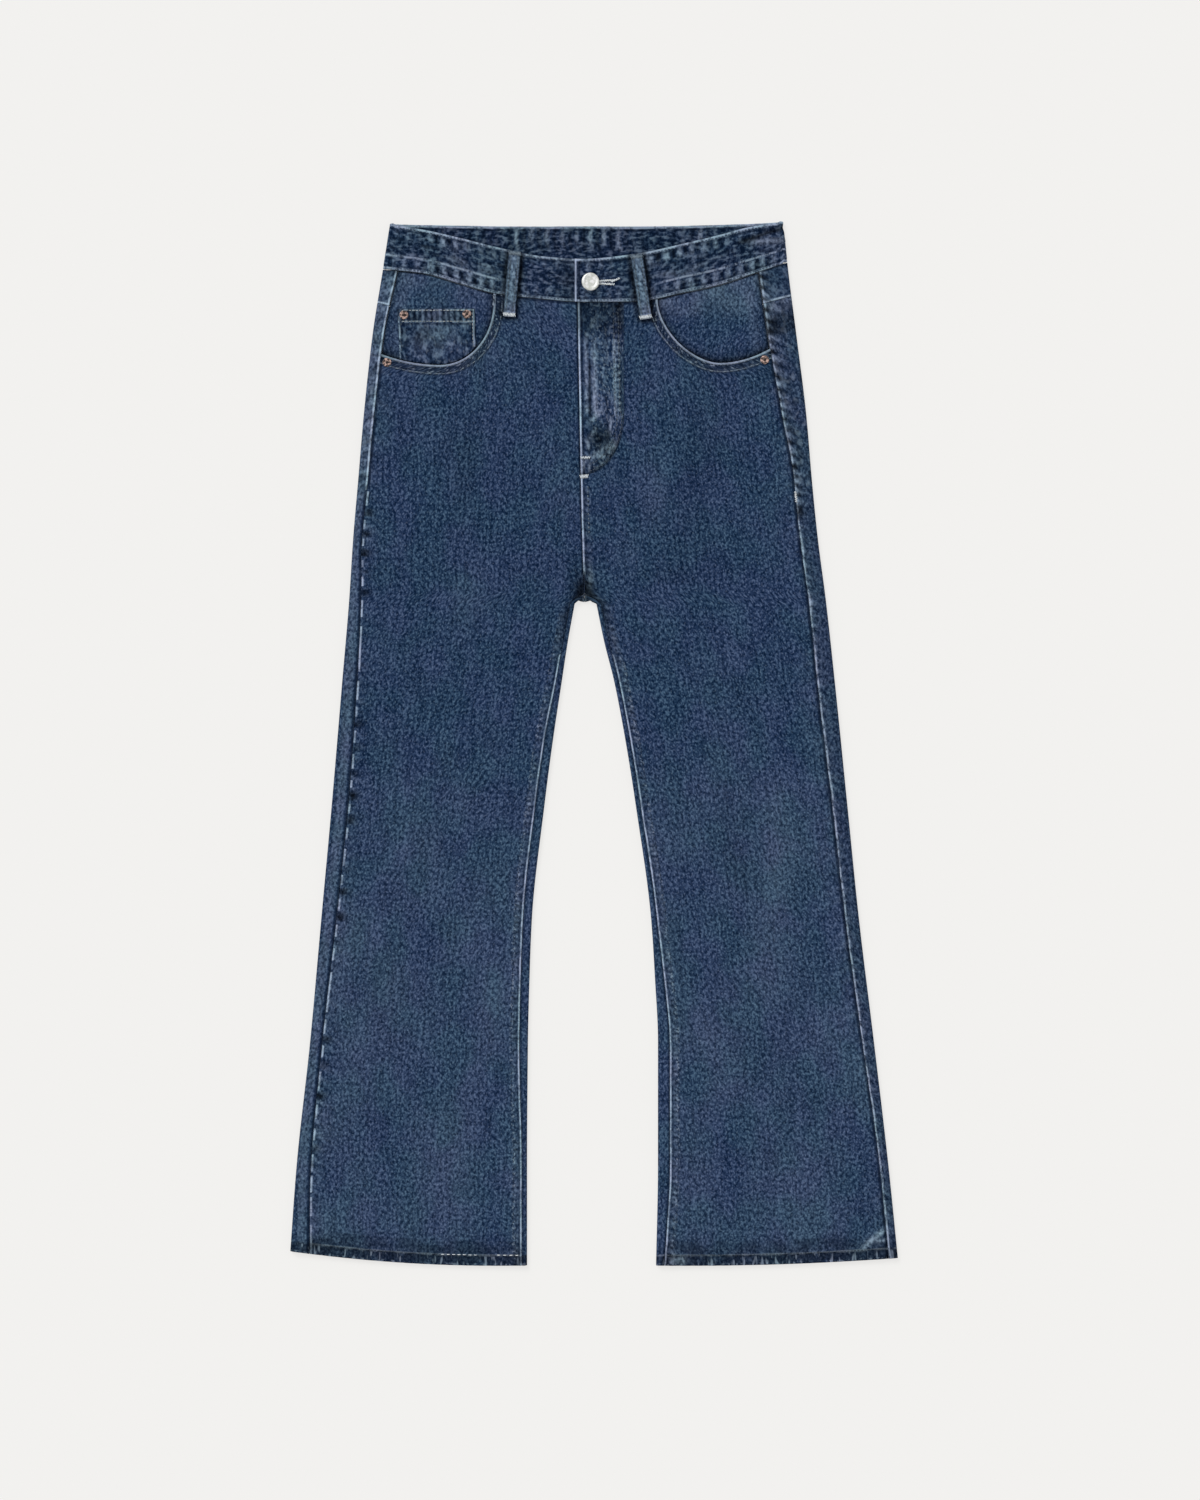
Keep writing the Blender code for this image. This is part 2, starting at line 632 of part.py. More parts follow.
def belt_loop(name):
    loop = LOOPS[name]
    along = np.concatenate([[0, 0.03], np.linspace(0.12, 0.88, 7), [0.97, 1]])
    across = np.array([-0.5, -0.38, 0.38, 0.5]) * LOOP_WIDTH
    top, low = np.array(loop["top"]), np.array(loop["bottom"])
    run = (low - top) / np.linalg.norm(low - top)
    aside = np.array([-run[1], run[0]])
    rows = []
    for t in along:
        middle = mix(top, low, t)
        x, y = middle[0] + across * aside[0], middle[1] + across * aside[1]
        if loop["sheet"] < 0:
            rows.append(np.stack([x, y, np.zeros(len(x))], -1))
            continue
        room = LOOP_BELT_ROOM * math.sin(math.pi * t) ** 0.6
        edge = np.where(np.abs(across) > 0.45 * LOOP_WIDTH, 0.0, 0.25)
        rows.append(np.stack([x, y, outer_face(x, y).max() + SEAM_GAP + LOOP_CLOTH + room + edge], -1))
    thickness = LOOP_CLOTH if loop["sheet"] > 0 else BACK_LOOP_CLOTH
    return cloth(name, np.array(rows), thickness, turned=loop["sheet"] < 0)


# ---------------------------------------------------------------- button and rivets

def turned(name, profile, place, finish, steps, tilt=0.0):
    """A turned piece from its profile, given as (radius, height) from the top centre to the bottom one."""
    points = [(radius * MM, 0.0, height * MM) for radius, height in profile]
    mesh = bpy.data.meshes.new(name)
    mesh.from_pydata(points, [(k, k + 1) for k in range(len(points) - 1)], [])
    made = add_object(name, mesh, finish)
    made.location = [value * MM for value in place]
    made.rotation_euler = (0.0, math.radians(tilt), 0.0)
    screw = made.modifiers.new("turn", "SCREW")
    screw.steps = screw.render_steps = steps
    screw.use_merge_vertices = True
    screw.merge_threshold = 0.00001
    screw.use_smooth_shade = True
    return made


def button():
    """A shank button: a dished cap with a rolled rim on a short neck."""
    r = BUTTON["radius"]
    neck = 2.6
    face = (neck + 2.2, neck + 2.1, neck + 2.4, neck + 2.8, neck + 2.9, neck + 2.4, neck + 1.2, neck + 0.2)
    radii = (0.0, 0.55 * r, 0.66 * r, 0.76 * r, 0.88 * r, 0.97 * r, r, 0.93 * r)
    profile = list(zip(radii, face)) + [(4.2, neck), (3.6, neck - 0.6), (3.6, 0.9), (0.0, 0.9)]
    x, y = BUTTON["x"], BUTTON["y"]
    base = float(band_points(np.array([x]), 1, 0.5, lap_shift(x, "over"))[0, 2])
    return turned("button", profile, (x, y, base + SEAM_GAP), STEEL, 28, BUTTON["tilt"])


def rivet(name):
    x, y, on = RIVETS[name]
    base = float(on_pillow(x, y)[2])
    profile = [(0.0, 1.5), (1.1, 1.4), (1.6, 1.0), (2.6, 0.95), (3.6, 0.75), (4.1, 0.3), (4.1, 0.0), (0.0, 0.0)]
    return turned(name, profile, (x, y, base + SEAM_GAP), COPPER, 18)


# ---------------------------------------------------------------- the garment

for old in list(bpy.data.objects):
    bpy.data.objects.remove(old)
parts = bpy.data.collections.new("straight_leg_jeans")
bpy.context.scene.collection.children.link(parts)

for side_name in ("right", "left"):
    front_panel(side_name)
    facing(side_name)
    yoke(side_name)
    back_panel(side_name)
    back_pocket(side_name)
coin_pocket()
fly()
waistband()
for loop_name in LOOPS:
    belt_loop(loop_name)
button()
for rivet_name in RIVETS:
    rivet(rivet_name)
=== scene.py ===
import bpy
import numpy as np
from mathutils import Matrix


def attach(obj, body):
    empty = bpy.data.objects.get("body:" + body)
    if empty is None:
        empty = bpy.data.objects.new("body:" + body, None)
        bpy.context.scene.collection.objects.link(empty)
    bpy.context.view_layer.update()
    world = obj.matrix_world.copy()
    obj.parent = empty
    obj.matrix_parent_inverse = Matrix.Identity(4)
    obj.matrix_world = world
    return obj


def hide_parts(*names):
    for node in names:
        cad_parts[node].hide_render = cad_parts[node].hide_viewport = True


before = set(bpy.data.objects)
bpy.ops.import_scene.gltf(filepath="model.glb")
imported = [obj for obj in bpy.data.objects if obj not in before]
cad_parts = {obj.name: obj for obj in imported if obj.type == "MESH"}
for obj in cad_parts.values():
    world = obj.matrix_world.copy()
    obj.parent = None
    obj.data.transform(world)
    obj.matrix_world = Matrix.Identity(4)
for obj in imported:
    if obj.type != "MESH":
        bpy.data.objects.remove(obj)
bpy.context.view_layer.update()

mm = 0.001
wayOf = {"right": -1, "left": 1}
seatX = -9.5  # the seat seam, where the legs' four seams cross
dashTop = 246.0  # the outseams are close-stitched above this height, and rubbed in dashes below it
crotchY = 138.0
crossingY = 147.0
legTopY = 136.0
clothThick = 1.2
seamGap = 0.3
farAway = 60.0  # a distance at which no worn line is drawn
waistGap = 0.5
bandFoldY = 464.0  # about where the waistband goes round the sides
facingDepth = clothThick + seamGap
photo = {"originX": 594.0, "originY": 743.5, "mmPerPixel": 0.975, "width": 1200, "height": 1500}


def columns(names, rows):
    return {name: np.array(values, float) for name, values in zip(names.split(), zip(*rows))}


# the outline's outer edges, how far each side seam lies in from them, and how high the front lies
outer = columns("y right left rightWrap leftWrap loft", [
    (-509, -297.3, 297.2, 20.0, 9.0, 5.2),
    (-410, -290.0, 287.1, 14.0, 9.0, 4.2),
    (-290, -276.9, 273.0, 12.0, 11.7, 4.2),
    (-170, -266.0, 258.4, 14.9, 13.7, 4.2),
    (-60, -255.9, 247.2, 16.3, 15.1, 4.2),
    (60, -245.7, 235.0, 14.6, 17.6, 4.6),
    (140, -238.9, 226.2, 11.7, 17.1, 5.2),
    (200, -235.0, 218.4, 8.8, 17.8, 5.8),
    (257, -230.1, 212.6, 9.8, 17.6, 6.2),
    (320, -224.7, 207.2, 10.5, 23.9, 6.4),
    (400, -215.9, 197.3, 11.1, 28.0, 6.4),
    (464, -205.7, 189.2, 14.6, 28.8, 6.4),
    (509, -198.8, 184.6, 16.0, 29.0, 6.4),
])

# the legs' inner edges, and how far each inseam lies in from them
inner = columns("y right left rightWrap leftWrap", [
    (-509, -65.3, 60.5, 5.0, 8.0),
    (-410, -65.3, 62.4, 5.0, 11.5),
    (-290, -64.4, 62.4, 8.2, 11.2),
    (-230, -62.9, 59.5, 8.4, 8.8),
    (-170, -60.5, 55.6, 8.5, 5.6),
    (-60, -48.3, 40.7, 8.8, 4.6),
    (0, -40.5, 31.2, 8.3, 4.6),
    (60, -31.5, 19.8, 5.6, 4.6),
    (100, -25.4, 9.8, 4.6, 4.6),
    (138, -18.5, 2.0, 4.6, 4.6),
])

# the front waistband's top edge and the seam under it
waist = columns("x top seam", [
    (-206, 507.2, 462.6),
    (-166, 500.8, 458.4),
    (-131, 493.0, 448.6),
    (-95, 484.0, 438.6),
    (-50, 475.0, 433.4),
    (-10, 472.4, 430.4),
    (40, 477.4, 430.8),
    (88, 487.6, 439.8),
    (123, 496.0, 447.6),
    (150, 503.2, 456.4),
    (190, 509.3, 469.6),
])

centreFront = columns("y x", [(147, seatX), (180, -11.0), (257, -13.0), (354, -14.8), (440, -16.3)])

fold = {"radius": 2.9, "bandRadius": 3.6, "loftRun": 40.0, "bandLoft": 7.4}
hem = {
    "y": -509.3, "depth": 11.0, "rise": 0.7,
    "rightLift": 14.0, "leftLift": 7.5, "legMiddle": 95, "legSpan": 200,
}
mouth = {
    "right": {"x": -150.0, "y": 430.0, "across": 52.0, "drop": 61.0, "power": 2.0, "rise": 11.0, "run": 58.0},
    "left": {"x": 122.0, "y": 432.0, "across": 60.0, "drop": 61.0, "power": 1.7, "rise": 12.0, "run": 46.0},
}
facingMargin = 12.0
yoke = {"centreY": 385.0, "right": 429.5, "left": 436.0}
flyCut = {"width": 41.0, "x": -12.0, "y": 320.0, "drop": 58.0}
coinCut = {"leftX": -191.6, "rightX": -116.8, "top": 423.8, "slant": 2.2}
backPocket = {
    "centre": 112.0, "top": 362.0, "height": 135.0, "point": 20.0,
    "topHalf": 73.0, "bottomHalf": 63.0,
}
backBand = {"top": 504.6, "height": 41.0}
lap = {"endX": -18.0, "underEndX": 14.0, "rise": 1.6, "sink": 1.1, "ramp": 22.0, "reach": 36.0}
loopSize = {"width": 12.4, "thick": 2.0, "backThick": 1.6, "beltRoom": 1.4}
loops = {
    "belt_loop_front_right": {"top": (-77.0, 479.6), "bottom": (-82.8, 415.8), "sheet": 1},
    "belt_loop_front_left": {"top": (41.4, 476.4), "bottom": (50.7, 413.4), "sheet": 1},
    "belt_loop_back_right": {"top": (seatX - 128.0, 503.4), "bottom": (seatX - 128.0, 447.6), "sheet": -1},
    "belt_loop_back_centre": {"top": (seatX, 503.4), "bottom": (seatX, 447.6), "sheet": -1},
    "belt_loop_back_left": {"top": (seatX + 128.0, 503.4), "bottom": (seatX + 128.0, 447.6), "sheet": -1},
}
raisedBack = {"flat": 17.0, "run": 8.0, "patch": clothThick + seamGap, "loop": 1.6 + seamGap}


# curves and heights, as the solids have them

def curve(knots, values, at):
    # the smooth curve through values at knots, with level turns, so it never overshoots them
    values = np.asarray(values, float)
    knots = np.asarray(knots, float)
    tail = (1,) * (values.ndim - 1)
    steps = np.diff(knots).reshape((-1,) + tail)
    rise = np.diff(values, axis=0) / steps
    product = rise[:-1] * rise[1:]
    same = product > 0
    turns = np.where(same, 2 * product / np.where(same, rise[:-1] + rise[1:], 1), 0)
    slope = np.concatenate([rise[:1], turns, rise[-1:]])
    at = np.clip(np.asarray(at, float), knots[0], knots[-1])
    i = np.clip(np.searchsorted(knots, at) - 1, 0, len(knots) - 2)
    t = ((at - knots[i]) / np.diff(knots)[i]).reshape(at.shape + tail)
    return (
        values[i] * (1 + 2 * t) * (1 - t) ** 2
        + slope[i] * steps[i] * t * (1 - t) ** 2
        + values[i + 1] * t * t * (3 - 2 * t)
        + slope[i + 1] * steps[i] * t * t * (t - 1)
    )


def through(table, column, at, key="y"):
    return curve(table[key], table[column][:, None], at)[..., 0]


def ease(t):
    # 0 to 1 with level ends
    t = np.clip(t, 0, 1)
    return t * t * (3 - 2 * t)


def positive(values):
    return np.maximum(values, 0)


def mix(a, b, t):
    return a + (b - a) * t


def ridge(d, middle, width):
    # a soft hump across d, 1 at its middle
    return np.exp(-(((d - middle) / width) ** 2))


def rolled(away, width=0.9):
    # 1 on a cut edge, falling to 0 at that width from it
    return np.clip(1 - away / width, 0, 1) ** 2


def inBetween(count):
    # evenly spaced shares between 0 and 1, without either
    return np.linspace(0, 1, count + 2)[1:-1]


def sheetAt(turn):
    # 1 on a fold's upper half, -1 on its lower one, 0 halfway
    return np.sign(np.round(np.sin(turn), 6))


def stripe(d, start, end, soft=1.2):
    # 1 from start to end, with soft sides
    return ease((d - start) / soft + 0.5) * ease((end - d) / soft + 0.5)


def runLength(x, y):
    # how far along a path each of its points lies
    return np.concatenate([[0], np.cumsum(np.hypot(np.diff(x), np.diff(y)))])


def addRopes(rise, wearAndHighlight, shade, ropes):
    # each rope raises the cloth, is rubbed pale on its tops and is dark between them
    for area, rope, high, pale, dark in ropes:
        rise = rise + area * high * rope
        wearAndHighlight = wearAndHighlight + area * pale * positive(rope)
        shade = shade + area * dark * positive(-rope)
    return rise, wearAndHighlight, shade


def softNoise(u, v, cell, seed):
    # smooth hills from -1 to 1: seeded values on a lattice of that cell, eased between
    values = np.random.default_rng(seed).uniform(-1, 1, (64, 64))
    u, v = np.broadcast_arrays(np.asarray(u, float) / cell, np.asarray(v, float) / cell)
    iu, iv = np.floor(u).astype(int), np.floor(v).astype(int)
    fu, fv = ease(u - iu), ease(v - iv)
    low = mix(values[iu % 64, iv % 64], values[(iu + 1) % 64, iv % 64], fu)
    high = mix(values[iu % 64, (iv + 1) % 64], values[(iu + 1) % 64, (iv + 1) % 64], fu)
    return mix(low, high, fv)


def wave(s, pitch, seed, slant=0.0):
    # puckers along s: a sine whose phase and height drift, so that no two are alike
    phase = 2 * np.pi * (s + slant) / pitch + 2.6 * softNoise(s, seed, pitch * 3.1, seed)
    return np.sin(phase) * (0.7 + 0.55 * softNoise(s, seed, pitch * 2.3, seed + 1))


def outerX(side, y):
    return through(outer, side, y)


def sideSeamX(side, y):
    return outerX(side, y) - wayOf[side] * through(outer, side + "Wrap", y)


def innerX(side, y):
    return through(inner, side, y)


def inseamX(side, y):
    return innerX(side, y) + wayOf[side] * through(inner, side + "Wrap", y)


def centreX(side, y):
    # the front panel's inner edge: the fly and crotch seam, then the inseam
    y = np.asarray(y, float)
    turn = mix(inseamX(side, legTopY), seatX, (y - legTopY) / (crossingY - legTopY))
    upper = np.where(y >= crossingY, through(centreFront, "x", y), turn)
    return np.where(y <= legTopY, inseamX(side, y), upper)


def hemY(x):
    # the lowest point is under each leg's middle, and the outer corners are drawn up
    lifted = np.where(x < 0, hem["rightLift"], hem["leftLift"])
    return hem["y"] + lifted * ((np.abs(x) - hem["legMiddle"]) / hem["legSpan"]) ** 2


def waistY(x, sheet, line):
    # the waistband's top edge or seam, on the front (sheet 1) or the back (sheet -1)
    if sheet > 0:
        return through(waist, line, x, "x")
    edge = np.where(x < seatX, waist["x"][0], waist["x"][-1])
    share = np.clip(np.abs((x - seatX) / (edge - seatX)), 0, 1) ** 3
    ends = np.where(x < seatX, waist[line][0], waist[line][-1])
    return mix(backBand["top"] - (backBand["height"] if line == "seam" else 0.0), ends, share)


def seamY(x):
    return through(waist, "seam", x, "x")


def only(where, away):
    # a distance that counts in one area alone
    return np.where(where, away, farAway)


def yokeY(side, x):
    span = np.abs(outerX(side, yoke[side]) - seatX)
    return mix(yoke["centreY"], yoke[side], np.clip(np.abs(x - seatX) / span, 0, 1))


def mouthY(side, x):
    # a quarter oval down from the waist seam, then a slow rise to the side seam
    m = mouth[side]
    inward = -wayOf[side] * (x - m["x"])
    share = np.clip(inward / m["across"], 0, 1)
    oval = m["y"] - m["drop"] * (1 - share ** m["power"]) ** (1 / m["power"])
    return np.where(inward > 0, oval, m["y"] - m["drop"] + m["rise"] * (inward / m["run"]) ** 2)


def edgeDistance(x, y):
    # how far a point lies in from the outline, whose hems and waist are open
    d = np.minimum(x - outerX("right", y), outerX("left", y) - x)
    beside = positive(np.maximum(innerX("right", crotchY) - x, x - innerX("left", crotchY)))
    above = np.hypot(beside, positive(y - crotchY))
    below = np.where(x < seatX, innerX("right", y) - x, x - innerX("left", y))
    return positive(np.minimum(d, np.where(y >= crotchY, above, below)))


def pocketHalf(y):
    p = backPocket
    return mix(p["topHalf"], p["bottomHalf"], np.clip((p["top"] - y) / p["height"], 0, 1))


def lift(x, y):
    # how far the back is held up by the pockets and loops that it lies on
    raised = np.zeros(np.broadcast(x, y).shape)
    p = backPocket
    pastY = np.maximum(y - p["top"], p["top"] - p["height"] - p["point"] - y)
    patches = [(seatX + way * p["centre"], pocketHalf(y), pastY, raisedBack["patch"]) for way in (-1, 1)]
    for loop in loops.values():
        if loop["sheet"] < 0:
            pastY = np.maximum(y - loop["top"][1], loop["bottom"][1] - y)
            patches.append((loop["top"][0], loopSize["width"] / 2, pastY, raisedBack["loop"]))
    for middle, half, pastY, height in patches:
        past = np.hypot(positive(np.abs(x - middle) - half), positive(pastY))
        raised = np.maximum(raised, height * ease(1 - (past - raisedBack["flat"]) / raisedBack["run"]))
    return raised


def pillow(x, y, sheet, radius=fold["radius"], loft=None):
    # height of the flat tube's outer face: sheet 1 is the top, -1 the bottom, 0 the fold
    d = edgeDistance(x, y)
    half = np.sqrt(positive(radius ** 2 - positive(radius - d) ** 2))
    settled = through(outer, "loft", y) if loft is None else loft
    sag = (2 * radius - settled) * ease((d - radius) / fold["loftRun"])
    step = hem["rise"] * ease((hemY(x) + hem["depth"] + 1.5 - y) / 1.5) * ease(d / radius)
    return radius + sheet * half + np.where(sheet > 0, step - sag, np.where(sheet < 0, lift(x, y), 0))


def reach(x, y, lineX, lineY):
    # distance from each point to a line of short pieces, and how far along the line its nearest point is
    x, y = np.broadcast_arrays(np.asarray(x, float), np.asarray(y, float))
    px, py = x.reshape(-1, 1), y.reshape(-1, 1)
    runX, runY = np.diff(lineX), np.diff(lineY)
    lengths = np.hypot(runX, runY)
    t = np.clip(((px - lineX[:-1]) * runX + (py - lineY[:-1]) * runY) / lengths ** 2, 0, 1)
    d = np.hypot(px - lineX[:-1] - t * runX, py - lineY[:-1] - t * runY)
    k = d.argmin(1)
    rows = np.arange(len(k))
    starts = np.concatenate([[0], np.cumsum(lengths)[:-1]])
    return d[rows, k].reshape(x.shape), (starts[k] + t[rows, k] * lengths[k]).reshape(x.shape)


# meshes

def makeMesh(name, points, faces, looks=None, materials=(), smooth=True):
    # points (n, 3) in millimetres, faces a list of arrays of equal-sided faces
    mesh = bpy.data.meshes.new(name)
    sides = np.concatenate([np.full(len(f), f.shape[1]) for f in faces])
    corners = np.concatenate([f.reshape(-1) for f in faces])
    mesh.vertices.add(len(points))
    mesh.vertices.foreach_set("co", (points * mm).astype(np.float32).reshape(-1))
    mesh.loops.add(len(corners))
    mesh.loops.foreach_set("vertex_index", corners.astype(np.int32))
    mesh.polygons.add(len(sides))
    mesh.polygons.foreach_set("loop_start", np.concatenate([[0], np.cumsum(sides)[:-1]]).astype(np.int32))
    mesh.polygons.foreach_set("use_smooth", np.full(len(sides), smooth))
    mesh.update(calc_edges=True)
    for key, values in (looks or {}).items():
        if key == "weave":
            layer = mesh.uv_layers.new(name="weave")
            layer.data.foreach_set("uv", values.reshape(-1, 2)[corners].astype(np.float32).reshape(-1))
        else:
            layer = mesh.attributes.new(key, "FLOAT", "POINT")
            layer.data.foreach_set("value", np.broadcast_to(values, len(points)).astype(np.float32))
    made = bpy.data.objects.new(name, mesh)
    bpy.context.scene.collection.objects.link(made)
    for material in materials:
        mesh.materials.append(material)
    return made


def gridFaces(rows, cols, flip=False):
    index = np.arange(rows * cols).reshape(rows, cols)
    quads = np.stack([index[:-1, :-1], index[1:, :-1], index[1:, 1:], index[:-1, 1:]], -1).reshape(-1, 4)
    return quads[:, ::-1] if flip else quads


def arcLengths(grid):
    # how far along its row each point lies
    return np.pad(np.cumsum(np.linalg.norm(np.diff(grid, axis=1), axis=2), 1), ((0, 0), (1, 0)))


def weaveUv(grid, shift):
    # threads run down the piece's middle line: u is the distance from it along the row, v the level
    along = arcLengths(grid)
    u = along - along[:, -1:] / 2
    return np.stack([u + shift, grid[..., 1] - shift * 1.7], -1) * mm


def gridArea(grid):
    a, b = grid[1:, 1:] - grid[:-1, :-1], grid[:-1, 1:] - grid[1:, :-1]
    return np.linalg.norm(np.cross(a, b), axis=2).sum() / 2


cuts = {}


def layFlat(piece, grid, node):
    # the cut is the piece rolled out: its widest row, its longest column and its own area
    width = arcLengths(grid)[:, -1].max()
    length = arcLengths(grid.transpose(1, 0, 2))[:, -1].max()
    area = min(gridArea(grid), width * length)
    cuts[piece.name] = (round(width), round(length), round(area / 100))
    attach(piece, "root")
    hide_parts(node)


def makeCloth(node, places, looks, material, thick=clothThick, flip=False, shift=0.0, lining=None):
    # a wall of cloth: the grid is its outer face, and Solidify gives the inner one and the cut edge
    grid = np.stack(np.broadcast_arrays(*places), -1)
    rows, cols = grid.shape[:2]
    flat = {key: np.broadcast_to(value, (rows, cols)).reshape(-1) for key, value in looks.items()}
    flat["weave"] = weaveUv(grid, shift)
    materials = (material, lining or weftDenim)
    piece = makeMesh(node + "_cloth", grid.reshape(-1, 3), [gridFaces(rows, cols, flip)], flat, materials)
    wall = piece.modifiers.new("wall", "SOLIDIFY")
    wall.thickness = thick * mm
    wall.offset = -1
    wall.use_even_offset = False  # even walls shoot out where columns crowd together
    wall.material_offset = 1
    layFlat(piece, grid, node)
    return piece


# materials

def linear(hexColour):
    # an sRGB hex colour as the renderer's linear one
    srgb = np.array([int(hexColour[i:i + 2], 16) for i in (1, 3, 5)]) / 255
    return (*np.where(srgb <= 0.04045, srgb / 12.92, ((srgb + 0.055) / 1.055) ** 2.4).tolist(), 1.0)


def fill(made, inputs):
    # each input, by place or name, gets a value or a link from another node's output
    for key, source in inputs.items() if isinstance(inputs, dict) else enumerate(inputs):
        if isinstance(source, bpy.types.NodeSocket):
            made.id_data.links.new(source, made.inputs[key])
        else:
            made.inputs[key].default_value = source


def node(tree, kind, inputs=(), out=0, **settings):
    # adds a node with its properties and inputs, and gives the output that other nodes read
    made = tree.nodes.new("ShaderNode" + kind)
    for name, value in settings.items():
        setattr(made, name, value)
    fill(made, inputs)
    return made.outputs[out]


def setStops(ramp, stops):
    # places a colour ramp's stops, each a place and a hex colour or a linear one
    elements = ramp.node.color_ramp.elements
    while len(elements) < len(stops):
        elements.new(0.5)
    for element, (place, colour) in zip(elements, stops):
        element.position = place
        element.color = linear(colour) if isinstance(colour, str) else colour


def newMaterial(name):
    material = bpy.data.materials.new(name)
    material.use_nodes = True
    return material, material.node_tree, material.node_tree.nodes["Principled BSDF"]


def mottled(name, onCloth, size, detail, stops, bump, relief=None):
    # colour that drifts between two stops in patches of that size, with a bump from them or from finer ones
    material, tree, shader = newMaterial(name)
    place = node(tree, "UVMap", uv_map="weave") if onCloth else node(tree, "TexCoord", out="Object")
    patches = node(tree, "TexNoise", {"Vector": place, "Scale": 1 / (size * mm), "Detail": detail})
    ramp = node(tree, "ValToRGB", [patches])
    setStops(ramp, stops)
    fine = patches
    if relief:
        fine = node(tree, "TexNoise", {"Vector": place, "Scale": 1 / (relief * mm), "Detail": 1.0})
    strength, distance = bump
    raised = node(tree, "Bump", {"Strength": strength, "Distance": distance * mm, "Height": fine})
    fill(shader, {"Base Color": ramp, "Normal": raised})
    return material, patches, ramp


denim = {
    "deep": "#041933", "body": "#20334f", "bright": "#425671",  # the speckle's dark, middle and light ends
    # the pale rubbed tone below also serves as the painted highlight on fold and crease tops
    "wornAndLit": "#8fa2b8", "edge": "#a9bcd2", "shadow": "#0a172b",
    "speckle": 2.7,  # mm, the mottling that washing gives; the 0.6 mm threads are too fine to show
    "speckleGain": 1.25, "fine": 1.5, "fineGain": 0.4, "dots": 0.16,
    "slubWide": 2.4, "slubLong": 45.0, "slubGain": 0.35,  # uneven warp yarns
    "cloud": 17.0, "cloudGain": 0.2,
    "twill": 1.5,  # mm between twill lines, drawn coarser than the real 0.8 mm
    "teal": (0.92, 1.02, 0.97), "purple": (1.05, 0.97, 1.03), "tinge": 34.0,  # the dye's drift
    "darkest": 0.12,  # what full shade leaves of the light
    "roughness": 0.88, "sheen": 0.05, "bump": 0.13,
}


